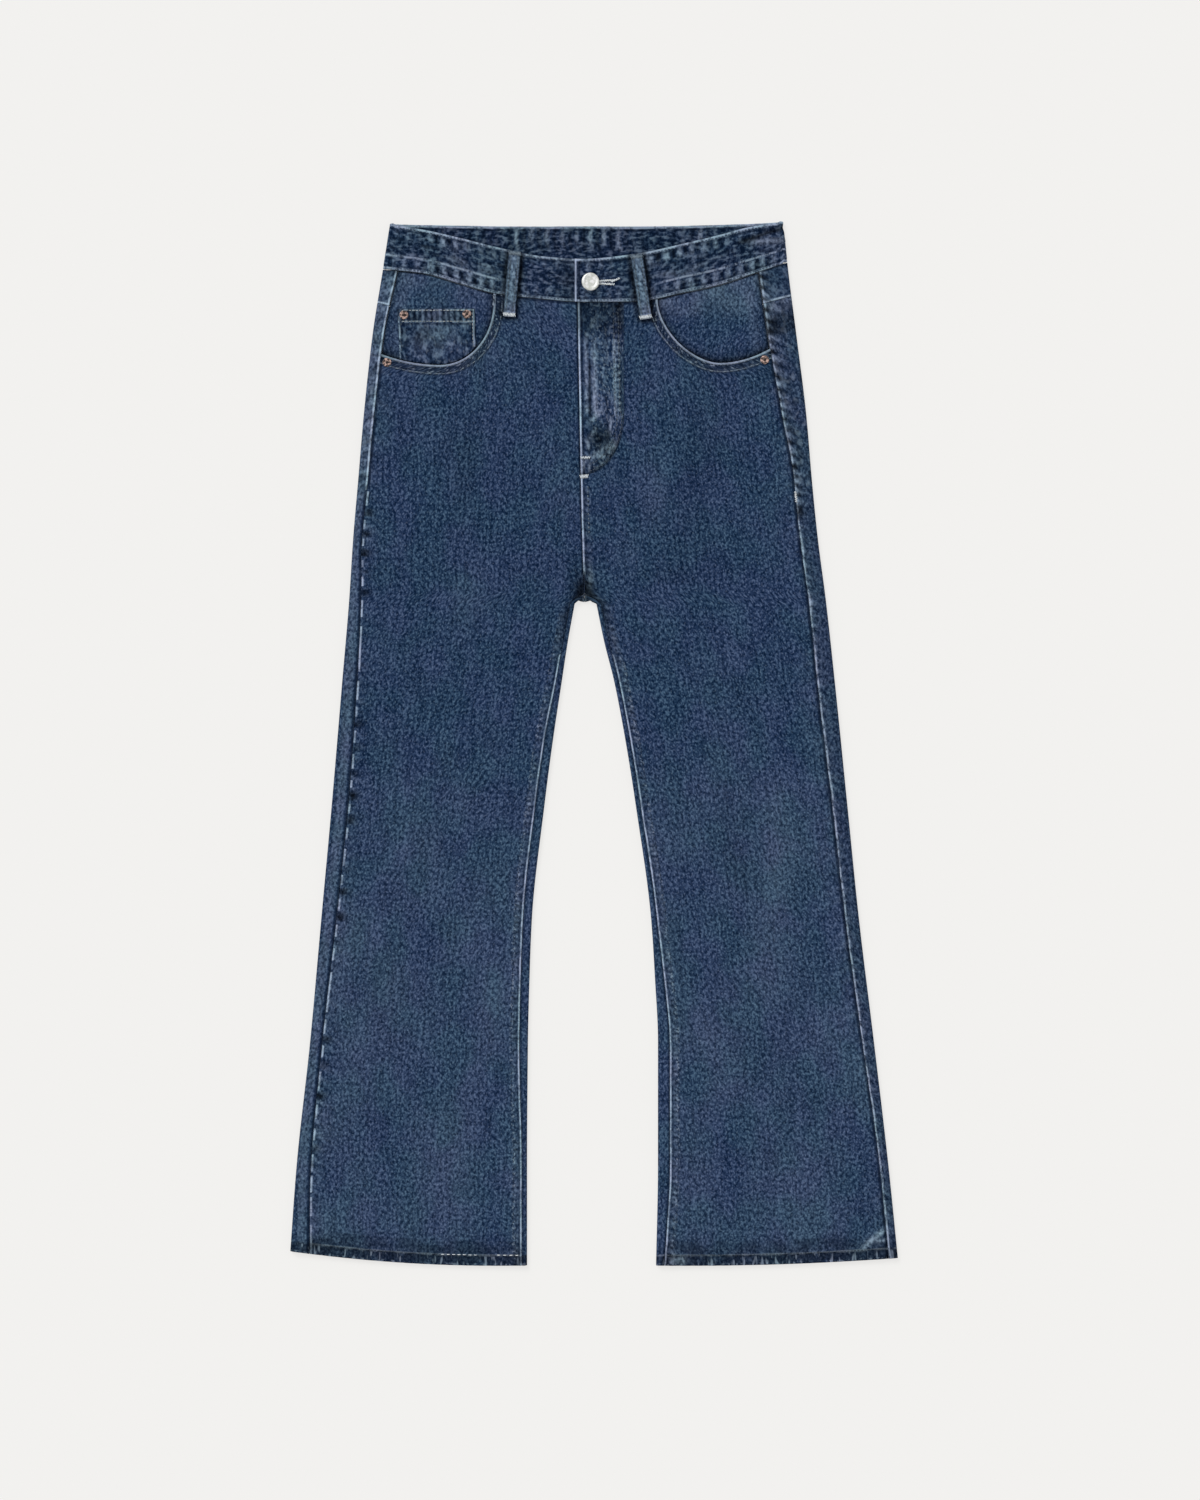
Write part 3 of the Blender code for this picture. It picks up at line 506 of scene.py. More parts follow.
def washedDenim(name, lines=(), flecks=(), tone=1.0, blotch=None):
    # stone-washed indigo twill: dark warp faded unevenly over a pale weft, so it looks speckled,
    # matt and a little fuzzy. lines are worn edges and creased shadows at set distances from seams,
    # flecks are small rubbed or creased spots in a band beside a seam, and blotch is larger mottling:
    # its width, its length, how much it darkens and lightens, and how much its tops are rubbed.
    d = denim
    material, tree, shader = newMaterial(name)
    uv = node(tree, "UVMap", uv_map="weave")

    def noise(width, length, detail, turned=0.0):
        # soft random patches of that width and length in millimetres
        place = node(tree, "Mapping", {
            "Vector": uv, "Scale": (1, width / length, 1), "Rotation": (0, 0, turned)})
        return node(tree, "TexNoise", {"Vector": place, "Scale": 1 / (width * mm), "Detail": detail},
                    noise_dimensions="2D")

    # the dye: a sum of patches of all sizes, from speckle to cloud, on a ramp from deep to bright
    speckle = noise(d["speckle"], d["speckle"] * 1.25, 1.0, turned=0.65)
    fine = noise(d["fine"], d["fine"] * 1.3, 0.0, turned=-0.5)
    parts = [
        (speckle, d["speckleGain"]),
        (fine, d["fineGain"]),
        (noise(d["slubWide"], d["slubLong"], 0.0), d["slubGain"]),
        (noise(d["slubLong"], d["slubWide"] * 0.8, 0.0), d["slubGain"] * 0.45),
        (noise(d["cloud"], d["cloud"] * 1.6, 2.0), d["cloudGain"]),
    ]
    if blotch:
        patches = noise(*blotch[:2], 2.0)
        parts.append((patches, blotch[2]))
    level = 0.5 - 0.5 * sum(amount for _, amount in parts)
    for source, amount in parts:
        level = node(tree, "Math", [source, amount, level], operation="MULTIPLY_ADD")
    ramp = node(tree, "ValToRGB", [level])
    setStops(ramp, [(0.14, d["deep"]), (0.5, d["body"]), (0.86, d["bright"])])

    # rubbing, and the painted highlight on fold and crease tops, strongest on the speckle's tops
    patchy = node(tree, "MapRange", [speckle, 0.3, 0.62, 0.35, 1.25])
    dots = node(tree, "MapRange", [fine, 0.64, 0.86, 0.0, d["dots"]])
    if blotch:
        dots = node(tree, "MapRange", [patches, 0.54, 0.72, 0.0, blotch[3]])
    wearAndHighlight = node(tree, "Attribute", out="Fac", attribute_name="wearAndHighlight")
    wornAndLit = node(tree, "Math", [wearAndHighlight, patchy, dots], operation="MULTIPLY_ADD", use_clamp=True)
    colour = node(tree, "Mix", {0: wornAndLit, 6: ramp, 7: linear(d["wornAndLit"])}, out=2, data_type="RGBA")

    # flecks and lines, first the dark ones and then the bright ones over them
    runs, nicks = noise(28.0, 28.0, 0.0), noise(5.5, 8.0, 1.0)
    broken = node(tree, "Math", [runs, 0.5, nicks], operation="MULTIPLY_ADD")
    broken = node(tree, "Math", [fine, 0.5, broken], operation="MULTIPLY_ADD")
    wobble = noise(26.0, 26.0, 2.0)
    for key in ("shadow", "edge"):
        total = 0.0
        for fleck in (fleck for fleck in flecks if fleck["tone"] == key):
            away = node(tree, "Attribute", out="Fac", attribute_name=fleck["from"])
            start, end, above = fleck["start"], fleck["end"], fleck["above"]
            enters = node(tree, "MapRange", [away, start - 0.8, start + 0.4, 0.0, fleck["strength"]])
            leaves = node(tree, "MapRange", [away, end - 0.8, end + 0.8, 1.0, 0.0])
            spots = noise(*fleck["size"], 1.0, turned=fleck["turned"])
            spots = node(tree, "MapRange", [spots, above, above + 0.12, 0.0, leaves])
            total = node(tree, "Math", [enters, spots, total], operation="MULTIPLY_ADD")
        for line in (line for line in lines if line["tone"] == key):
            away = node(tree, "Attribute", out="Fac", attribute_name=line["from"])
            half, centre = line["half"], line["at"] + 0.5 * line["wobble"]
            moved = node(tree, "Math", [wobble, line["wobble"], away], operation="MULTIPLY_ADD")
            apart = node(tree, "Math", [moved, centre], operation="SUBTRACT")
            apart = node(tree, "Math", [apart], operation="ABSOLUTE")
            across = node(tree, "MapRange", [apart, 0.15 * half, half * 1.15, line["strength"], 0.0],
                          interpolation_type="SMOOTHSTEP")
            gaps = node(tree, "MapRange", [broken, 0.8, 1.1, 1 - line["broken"], 1.0])
            total = node(tree, "Math", [across, gaps, total], operation="MULTIPLY_ADD")
        if total:
            colour = node(tree, "Mix", {0: total, 6: colour, 7: linear(d[key])}, out=2, data_type="RGBA",
                          clamp_factor=True)

    # shade darkens to an eighth, and the dye drifts between teal and purple
    shade = node(tree, "Attribute", out="Fac", attribute_name="shade")
    dimmed = node(tree, "MapRange", [shade, 0.0, 1.0, tone, tone * d["darkest"]])
    colour = node(tree, "VectorMath", {0: colour, "Scale": dimmed}, operation="SCALE")
    drift = node(tree, "MapRange", [noise(d["tinge"], d["tinge"] * 1.4, 1.0), 0.35, 0.65])
    tinge = node(tree, "Mix", {0: drift, 4: d["teal"], 5: d["purple"]}, out=1, data_type="VECTOR")
    colour = node(tree, "VectorMath", [colour, tinge], operation="MULTIPLY")

    # slanting twill lines, a quarter as high as the speckle
    diagonal = node(tree, "Mapping", {"Vector": uv, "Rotation": (0, 0, 0.9)})
    waves = 0.314 / (d["twill"] * mm)  # a wave node at scale 1 repeats every 0.314
    twill = node(tree, "TexWave", {
        "Vector": diagonal, "Scale": waves, "Distortion": 1.2, "Detail": 1.0}, out=1)
    height = node(tree, "Math", [twill, 0.25, level], operation="MULTIPLY_ADD")
    bump = node(tree, "Bump", {"Strength": 1.0, "Distance": d["bump"] * mm, "Height": height})
    fill(shader, {"Base Color": colour, "Normal": bump, "Roughness": d["roughness"]})
    fill(shader, {"Specular IOR Level": d["sheen"]})
    return material


def weftSide():
    # the inside of denim, where the undyed weft shows: pale grey-blue, flat
    stops = [(0.3, "#5b6b80"), (0.7, "#9aa6b4")]
    material, _, _ = mottled("weftSideDenim", True, 1.8, 2.0, stops, (0.8, 0.2))
    fill(material.node_tree.nodes["Principled BSDF"], {"Roughness": 0.92, "Specular IOR Level": 0.2})
    return material


def line(source, at, half, strength, tone="edge", broken=0.3, wobble=0.8):
    return {"from": source, "at": at, "half": half, "strength": strength, "tone": tone, "broken": broken,
            "wobble": wobble}


def fleck(source, start, end, size, above, strength, tone="edge", turned=0.0):
    return {"from": source, "start": start, "end": end, "size": size, "above": above, "strength": strength,
            "tone": tone, "turned": turned}


weftDenim = weftSide()
hemTicks = [
    fleck("hemAway", -1.0, 9.0, (3.6, 16.0), 0.61, 0.5, turned=0.35),
    fleck("hemAway", -1.0, 2.0, (5.0, 5.0), 0.55, 0.4),
    fleck("hemAway", -1.0, 10.0, (14.0, 14.0), 0.3, 0.5, "shadow"),
    fleck("hemAway", 9.4, 10.8, (9.0, 9.0), 0.45, 0.4),
    fleck("hemAway", 11.0, 24.0, (26.0, 16.0), 0.4, 0.35, "shadow"),
]


# front panels

front = {
    "edgeSteps": np.array([0, 0.35, 0.8, 1.5, 2.5, 3.8, 5.2, 6.7, 8.2, 9.7, 11.2, 13.0, 15.5, 19.0]),
    "middle": 48, "baseY": 352.0, "topRows": 36, "rowPitch": 2.3, "lastLevel": -470.0,
    "hemRows": np.array([12.5, 11.7, 11.0, 10.2, 9.2, 8.0, 6.8, 5.6, 4.4, 3.2, 2.1, 1.2, 0.5, 0.0]),
    "fellWide": 9.5, "mouthHem": 9.0,
}

# long soft folds in the front: where each starts and ends, how wide and how deep (below 0) or high it is
frontFolds = columns("x1 y1 x2 y2 wide deep", [
    (-103, 350, -121, 150, 17, -0.85),
    (-138, 300, -150, 60, 20, 0.45),
    (-150, 0, -171, -140, 14, -0.8),
    (-128, 30, -138, -120, 15, 0.5),
    (-190, -180, -205, -330, 16, -0.45),
    (-105, -200, -118, -380, 18, 0.4),
    (103, 360, 98, 110, 24, -0.8),
    (62, 330, 60, 140, 20, 0.45),
    (35, 356, 18, 232, 11, -0.9),
    (131, -40, 138, -160, 14, -0.8),
    (158, -10, 172, -190, 16, 0.5),
    (170, -250, 184, -400, 18, -0.4),
    (95, -230, 100, -410, 16, 0.35),
    (8, 152, 120, 168, 9, -0.55),
    (-28, 150, -112, 172, 9, -0.4),
    (-60, 398, -150, 345, 13, 0.35),
])


# rubbed creases at the wearer's left hem, where its corners are caught up
hemCreases = columns("x1 y1 x2 y2 wide deep", [
    (258, -499, 290, -473, 1.8, 1.0),
    (268, -484, 288, -483, 1.6, 0.6),
    (74, -509, 80, -497, 2.6, 1.0),
    (82, -509, 86, -499, 2.2, 0.8),
    (90, -508, 88, -500, 2.0, 0.8),
])


def foldHeights(folds, x, y):
    # each fold is a soft bell across its line, tapered to nothing at both ends
    total = np.zeros(np.broadcast(x, y).shape)
    for x1, y1, x2, y2, wide, deep in zip(*folds.values()):
        length = np.hypot(x2 - x1, y2 - y1)
        runX, runY = (x2 - x1) / length, (y2 - y1) / length
        along = ((x - x1) * runX + (y - y1) * runY) / length
        bow = 0.08 * length * np.sin(2.1 * along + x1)
        aside = (x - x1) * runY - (y - y1) * runX + bow
        total += deep * ridge(aside, 0, wide) * ease(along / 0.35) * ease((1 - along) / 0.35)
    return total


def besideLoops(x, y):
    # the shade under the front loops' sides and ends
    total = np.zeros(np.broadcast(x, y).shape)
    for loop in loops.values():
        if loop["sheet"] > 0:
            (topX, topY), (lowX, lowY) = loop["top"], loop["bottom"]
            middle = lowX + (y - lowY) * (topX - lowX) / (topY - lowY)
            past = np.hypot(positive(np.abs(x - middle) - loopSize["width"] / 2), positive(lowY - y))
            total += 0.7 * ridge(past, 1.2, 2.8)
    return total


def mouthLine(side):
    m = mouth[side]
    way = wayOf[side]
    start = sideSeamX(side, m["y"] - m["drop"] + m["rise"]) - way * seamGap / 2
    flat = np.linspace(start, m["x"], 14, endpoint=False)
    turn = m["x"] - way * m["across"] * np.sin(np.linspace(0, np.pi / 2, 48))
    x = np.concatenate([flat, turn, turn[-1:]])
    y = mouthY(side, x)
    y[-1] = seamY(x[-1]) - waistGap
    return x, y


def frontSurface(side, x, y):
    # height of the front panel's outer face with its hems, seams and folds, and what its material reads:
    # rubbed wear with a painted highlight on fold tops, and shade, from 0 to 1, and distances from seams and
    # edges in millimetres
    way = wayOf[side]
    x, y = np.broadcast_arrays(np.asarray(x, float), np.asarray(y, float))
    lineX, lineY = mouthLine(side)
    away = {
        "sideAway": np.abs(x - sideSeamX(side, y)) - seamGap / 2,
        "centreAway": np.abs(x - centreX(side, y)) - seamGap / 2,
        "waistAway": only(-way * (x - lineX[-1]) > -20, seamY(x) - waistGap - y),
        "hemAway": y - hemY(x),
    }
    # the wearer's right outseam is rubbed in dashes, with dark puckers between them
    dashes = wave(y, 24.0, 18) + 0.45 * softNoise(0, y, 9, 19)
    low = y < dashTop if side == "right" else np.zeros(y.shape, bool)
    dashGap = np.clip(-1.6 * dashes - 0.5, 0, 1) * low
    away["outseamAway"] = only(low & (dashes > -0.25), away["sideAway"])
    away["darkSideAway"] = only(~low, away["sideAway"])
    away["flyAway"] = only(y > crossingY + 16, away["centreAway"])
    # near the crotch the inseams roll under
    away["inseamAway"] = away["centreAway"] + farAway * ease((y - 86) / 16)
    away["mouthAway"], alongMouth = reach(x, y, lineX, lineY)
    legs = ease((legTopY - y) / 8)
    seed = 10 if side == "right" else 40

    folds = foldHeights(frontFolds, x, y) + 0.22 * softNoise(x, y * 0.5, 30, seed)
    small = softNoise(x, y * 0.6, 11, seed + 1)
    fell = np.where(y > 250, 0, np.maximum(legs, ease((255 - y) / 8) * (side == "left")))
    fellBand = stripe(away["centreAway"], -2, front["fellWide"]) * fell
    ladder = wave(y, 5.4, seed + 2)
    fellRope = wave(y, 9.5, seed + 3, slant=0.5 * away["centreAway"])
    mouthBand = stripe(away["mouthAway"], -2, front["mouthHem"]) * (away["waistAway"] > 0)
    mouthRope = wave(alongMouth, 6.6, seed + 4, slant=0.4 * away["mouthAway"])
    hemBand = stripe(away["hemAway"], -2, hem["depth"])
    hemRope = wave(x, 14.0, seed + 5, slant=-0.9 * away["hemAway"])
    sideRope = wave(y, 11.0, seed + 6, slant=0.5 * away["sideAway"])
    sideRope = sideRope * (0.6 + 0.6 * softNoise(0, y, 52, seed + 8))
    sideRope = sideRope + 0.7 * np.minimum(wave(y, 41.0, seed + 7), 0.3)
    waistRope = wave(x, 11.5, seed + 7)
    nearSide = np.exp(-away["sideAway"] / 7.0)
    nearWaist = np.exp(-positive(away["waistAway"]) / 6.0)

    dots = ridge(away["centreAway"], 5.4, 2.2) * fell
    rise = folds + 0.1 * small + fellBand * 0.42 + mouthBand * 0.4
    # fold tops are painted lighter, a painted highlight, and fold hollows darker, painted shade
    wearAndHighlight = 0.08 * positive(folds) + 0.035 * ease((70 - y) / 260)
    wearAndHighlight = wearAndHighlight + (0.01 + 0.02 * ease((60 - y) / 200)) * softNoise(x, y * 0.7, 33, seed + 9)
    shade = 0.16 * positive(-folds) + 0.04 * positive(-small) + mouthBand * 0.42 + hemBand * 0.36
    rise, wearAndHighlight, shade = addRopes(rise, wearAndHighlight, shade, [
        (fellBand, ladder, 0.1, 0, 0),
        (fellBand, fellRope, 0.14, 0.08, 0.22),
        (dots, ladder, 0, 0.42 * (0.6 + 0.6 * softNoise(0, y, 31, seed + 10)), 0.55),
        (mouthBand, mouthRope, 0.16, 0.08, 0.12),
        (hemBand, hemRope, 0.4, 0, 0.1),
        (nearSide, sideRope, 0.3, 0.22, 0.42),
        (nearWaist, waistRope, 0.2, 0.12, 0.2),
    ])
    # the rows of stitches pull grooves, and each cut edge rolls under
    for key, place, wide, deep in (
        ("centreAway", 1.9, 0.6, 0.2 * fell), ("centreAway", 8.0, 0.6, 0.2 * fell),
        ("mouthAway", 2.0, 0.7, 0.22), ("mouthAway", 8.3, 0.7, 0.22), ("hemAway", 9.6, 0.8, 0.25),
    ):
        rise = rise - deep * ridge(away[key], place, wide)
    for key in ("mouthAway", "hemAway", "centreAway"):
        rise = rise - 0.45 * rolled(away[key])
    rise = rise * ease((edgeDistance(x, y) - 0.5) / 3)

    crotch = ridge(np.hypot(x - seatX - 0.2 * (150 - y), (y - 150) * 0.55), 0, 13)
    notch = ridge(np.hypot((x - seatX + 1) / (7 + 0.2 * (160 - y)), (y - 147) / 13), 0, 1)
    tangle = ridge(np.hypot((x + 6) / 5, (y - 161) / 9), 0, 1) * positive(softNoise(x * 1.4, y, 3.1, 77))
    wearAndHighlight = wearAndHighlight + 0.9 * tangle + positive(foldHeights(hemCreases, x, y))
    shade = shade + 0.5 * ridge(away["centreAway"], 0, 4.5) * ease((y - 70) / 40) * ease((150 - y) / 8)
    shade = shade + 0.32 * ridge(away["hemAway"], 14, 8) + 0.5 * crotch + 0.7 * notch
    shade = shade + besideLoops(x, y) + dashGap * 0.8 * ridge(away["sideAway"], 3.5, 5.5)
    looks = {"wearAndHighlight": positive(wearAndHighlight), "shade": np.clip(shade, 0, 1), **away}
    return pillow(x, y, 1) + rise, looks


def spread(start, end, steps, middle):
    # columns at fixed distances from both ends, and evenly spaced between
    start, end = np.atleast_1d(start)[:, None], np.atleast_1d(end)[:, None]
    way = np.sign(end - start)
    near, far = start + way * steps, end - way * steps[::-1]
    return np.concatenate([near, mix(near[:, -1:], far[:, :1], inBetween(middle)), far], 1)


def frontColumns(side, level, centreLevel=None):
    gap = wayOf[side] * seamGap / 2
    level = np.atleast_1d(level)
    centreLevel = level if centreLevel is None else centreLevel
    return spread(
        sideSeamX(side, level) - gap, centreX(side, centreLevel) + gap, front["edgeSteps"], front["middle"])


def overToHem(count):
    # the last rows go over from level to parallel to the hem, whose height differs at its two ends:
    # each row's share of that, and its height above the hem
    share = np.concatenate([np.linspace(0, 1, count + 1)[1:], np.ones(len(front["hemRows"]) - 1)])
    above = np.concatenate([np.full(count, front["hemRows"][0]), front["hemRows"][1:]])
    return share[:, None], above[:, None]


def frontGrid(side):
    way = wayOf[side]
    lineX, lineY = mouthLine(side)
    waistX = np.linspace(lineX[-1], centreX(side, waist["seam"].min()) + way * seamGap / 2, 40)[1:]
    topX = np.concatenate([lineX, waistX])
    topY = np.concatenate([lineY, seamY(waistX) - waistGap])
    along = runLength(topX, topY)
    stations = spread(0.0, along[-1], front["edgeSteps"], front["middle"])[0]
    corner = along[len(lineX) - 1]
    stations[np.abs(stations - corner).argmin()] = corner
    topX, topY = np.interp(stations, along, topX), np.interp(stations, along, topY)

    t = np.linspace(0, 1, front["topRows"])[:, None] ** 1.35
    upperY = mix(topY, front["baseY"], t)
    baseX = frontColumns(side, front["baseY"])[0]
    ways = []
    # each column keeps its distance from the side seam, or from the centre
    for seamAt in (sideSeamX, centreX):
        offsets = mix(topX - seamAt(side, topY), baseX - seamAt(side, front["baseY"]), ease(t))
        ways.append(seamAt(side, upperY) + offsets)
    upperX = mix(*ways, ease(np.linspace(-0.5, 1.5, len(baseX))))

    count = int((front["baseY"] - front["lastLevel"]) / front["rowPitch"])
    levels = np.linspace(front["baseY"], front["lastLevel"], count)[1:]
    levels[np.abs(levels - legTopY).argmin()] = legTopY
    levels[np.abs(levels - crossingY).argmin()] = crossingY
    legX = frontColumns(side, levels)
    legY = np.broadcast_to(levels[:, None], legX.shape)

    share, above = overToHem(11)
    lowY = np.full((len(share), legX.shape[1]), front["lastLevel"])
    for _ in range(4):
        lowX = frontColumns(side, lowY[:, 0], lowY[:, -1])
        lowY = mix(front["lastLevel"], hemY(lowX) + above, share)
    return np.concatenate([upperX, legX, lowX]), np.concatenate([upperY, legY, lowY])


def frontMaterial(side):
    lines = [
        line("mouthAway", 0.8, 1.7, 1.0, broken=0.35, wobble=0.6),
        line("mouthAway", 9.8, 1.3, 0.5, "shadow", broken=0.5, wobble=0.5),
        line("mouthAway", 8.4, 0.9, 0.35, broken=0.95, wobble=0.5),
        line("outseamAway", 1.1, 1.3, 0.8, broken=0.6, wobble=0.9),
        line("darkSideAway", 1.0, 2.0, 0.9, "shadow"),
        line("hemAway", 10.4, 0.9, 0.3, broken=0.8),
        line("waistAway", 0.8, 1.9, 0.8, "shadow"),
        line("inseamAway", 0.8, 1.15, 0.8, broken=0.6, wobble=0.9),
        line("inseamAway", 2.8, 1.5, 0.4, "shadow", broken=0.6),
    ]
    if side == "left":
        lines.append(line("flyAway", 0.8, 1.3, 0.9, broken=0.5, wobble=1.1))
        lines.append(line("flyAway", 3.0, 1.5, 0.6, "shadow", broken=0.4, wobble=0.9))
    else:
        lines.append(line("flyAway", 0.8, 1.4, 0.75, "shadow", broken=0.2))
    flecks = [
        fleck("mouthAway", 2.6, 8.6, (4.5, 4.5), 0.50, 0.5, "shadow"),
        fleck("mouthAway", 1.5, 9.0, (3.4, 3.4), 0.62, 0.5),
        fleck("inseamAway", 6.5, 9.5, (3.2, 3.2), 0.58, 0.35),
    ]
    return washedDenim("washedDenimFront_" + side, lines, flecks + hemTicks)


def makeFront(side):
    x, y = frontGrid(side)
    z, looks = frontSurface(side, x, y)
    makeCloth("front_" + side, (x, y, z), looks, frontMaterial(side),
              flip=side == "left", shift=60.0 if side == "right" else 410.0)


# facings, coin pocket and fly

def facingSurface(side, x, y):
    # one layer under the front; darkest just inside the mouth's edge, paler above
    lineX, lineY = mouthLine(side)
    away, _ = reach(x, y, lineX, lineY)
    low = ease(1 - (y - mouth[side]["y"] + mouth[side]["drop"]) / 22)
    puckers = wave(x, 9.0, 71) * np.exp(-(seamY(x) - y) / 9)
    rise = 0.16 * softNoise(x, y, 16, 70) + 0.12 * puckers
    sideAway = np.abs(x - sideSeamX(side, y))
    shade = 0.95 * np.exp(-away / 3.6) + 0.4 * low * np.exp(-away / 12)
    shade += 0.8 * np.exp(-sideAway / 2.6) + 0.12 * positive(-puckers) + besideLoops(x, y)
    wearAndHighlight = (0.09 if side == "left" else 0.03) * ease((y - 408) / 26) * (1 + softNoise(x, y, 10, 73))
    wearAndHighlight += 0.12 * positive(puckers) + 0.06 * ridge(sideAway, 12, 6)
    looks = {"wearAndHighlight": wearAndHighlight, "shade": np.clip(shade, 0, 1), "mouthAway": away, "sideAway": sideAway,
             "waistAway": seamY(x) - waistGap - y}
    return pillow(x, y, 1) - facingDepth + rise * ease((edgeDistance(x, y) - 3) / 3), looks


def makeFacing(side):
    m = mouth[side]
    way = wayOf[side]
    innerEdge = m["x"] - way * (m["across"] + facingMargin)
    across = np.linspace(0, 1, 44)
    outerTop = sideSeamX(side, waistY(outerX(side, bandFoldY), 1, "seam")) - way * 3 * seamGap
    topX = mix(outerTop, innerEdge, across)
    topY = seamY(topX) - waistGap
    inward = np.clip(1 + way * (topX - m["x"]) / (m["across"] + facingMargin), 0.02, 1)
    lowY = m["y"] - (m["drop"] + facingMargin) * np.minimum(inward * 2.2, 1) ** 0.5
    y = mix(topY, lowY, np.linspace(0, 1, 40)[:, None])
    x = mix(sideSeamX(side, y) - way * 3 * seamGap, innerEdge, across)
    z, looks = facingSurface(side, x, y)
    lines = [line("waistAway", 0.4, 1.5, 0.7, "shadow")]
    material = washedDenim("washedDenimFacing_" + side, lines)
    makeCloth("pocket_facing_" + side, (x, y, z), looks, material,
              flip=side == "left", shift=710.0)


coin = {"hem": 12.4, "rows": (1.6, 12.2), "bars": 5.6}


def coinSurface(x, y):
    p = coinCut
    t = (p["top"] - y) / 60
    left, right = p["leftX"] + p["slant"] * t, p["rightX"] + p["slant"] * t
    topAway = p["top"] - y
    sideAway = np.minimum(x - left, right - x)
    bars = np.sin(2 * np.pi * x / coin["bars"])
    hemBand = stripe(topAway, -2, coin["hem"])
    roll = softNoise(x, y, 13, 81)
    rise = 0.12 * roll + hemBand * (0.32 + 0.13 * bars) - 0.2 * ridge(topAway, coin["rows"][0], 0.6)
    rise = rise - 0.22 * ridge(topAway, coin["rows"][1], 0.6) - 0.2 * ridge(sideAway, 2.4, 0.7)
    rise = rise - 0.5 * rolled(np.minimum(topAway, sideAway))
    mouthAway, _ = reach(x, y, *mouthLine("right"))
    # the roll's high parts are painted lighter, a painted highlight, and its hollows get painted shade
    wearAndHighlight = hemBand * 0.28 * positive(bars) + 0.13 * ridge(np.hypot(x + 152, (y - 395) * 1.2), 0, 17)
    wearAndHighlight += 0.1 * positive(roll)
    shade = hemBand * (0.25 + 0.55 * positive(-bars)) + 0.8 * np.exp(-mouthAway / 2.4)
    shade += 0.45 * ridge(np.hypot((x + 170) * 0.8, y - 396), 0, 9) + 0.3 * positive(-roll)
    looks = {"wearAndHighlight": wearAndHighlight, "shade": np.clip(shade, 0, 1), "topAway": topAway, "sideAway": sideAway}
    return pillow(x, y, 1) + rise, looks


def makeCoinPocket():
    p = coinCut
    across = np.linspace(0, 1, 56)
    down = np.linspace(0, 1, 40)[:, None]
    x = mix(p["leftX"], p["rightX"], across) + p["slant"] * down
    floorY = mouthY("right", x) + 2.2 * seamGap + 1.4 * np.clip((x + 135) / 20, 0, 1)
    y = mix(p["top"], floorY, down)
    z, looks = coinSurface(x, y)
    lines = [
        line("topAway", 1.0, 1.3, 0.6, broken=1.0, wobble=2.2),
        line("topAway", 12.3, 1.3, 0.5, broken=1.0, wobble=2.2),
        line("topAway", 14.8, 1.8, 0.7, "shadow", broken=0.4, wobble=0.6),
        line("sideAway", 1.0, 1.1, 0.55, broken=1.0, wobble=1.6),
        line("sideAway", 3.4, 1.8, 0.6, "shadow", broken=0.6),
    ]
    flecks = [
        fleck("topAway", 14.0, 60.0, (4.0, 6.0), 0.62, 0.15),
        fleck("topAway", 0, 60.0, (4.5, 7.0), 0.56, 0.35, "shadow"),
    ]
    material = washedDenim("washedDenimCoinPocket", lines, flecks, tone=0.92, blotch=(6.0, 9.0, 1.6, 0.24))
    makeCloth("coin_pocket", (x, y, z), looks, material,
              shift=930.0)


flyRows = {"ridges": (7.3, 15.2), "groove": 10.6}

# short rubbed creases across the fly
flyCreases = columns("x1 y1 x2 y2 wide deep", [
    (1.5, 419, -4.5, 402, 1.1, 0.9),
    (-9, 402, -4, 396, 1.4, 0.6),
    (-6, 310, 12, 326, 1.6, 0.8),
    (-8, 296, 4, 309, 1.6, 0.8),
    (14, 322, 15.5, 296, 1.2, 0.9),
    (-6.8, 298, -6.2, 284, 1.5, 1.0),
    (-6, 272, 18, 292, 1.6, 0.8),
])


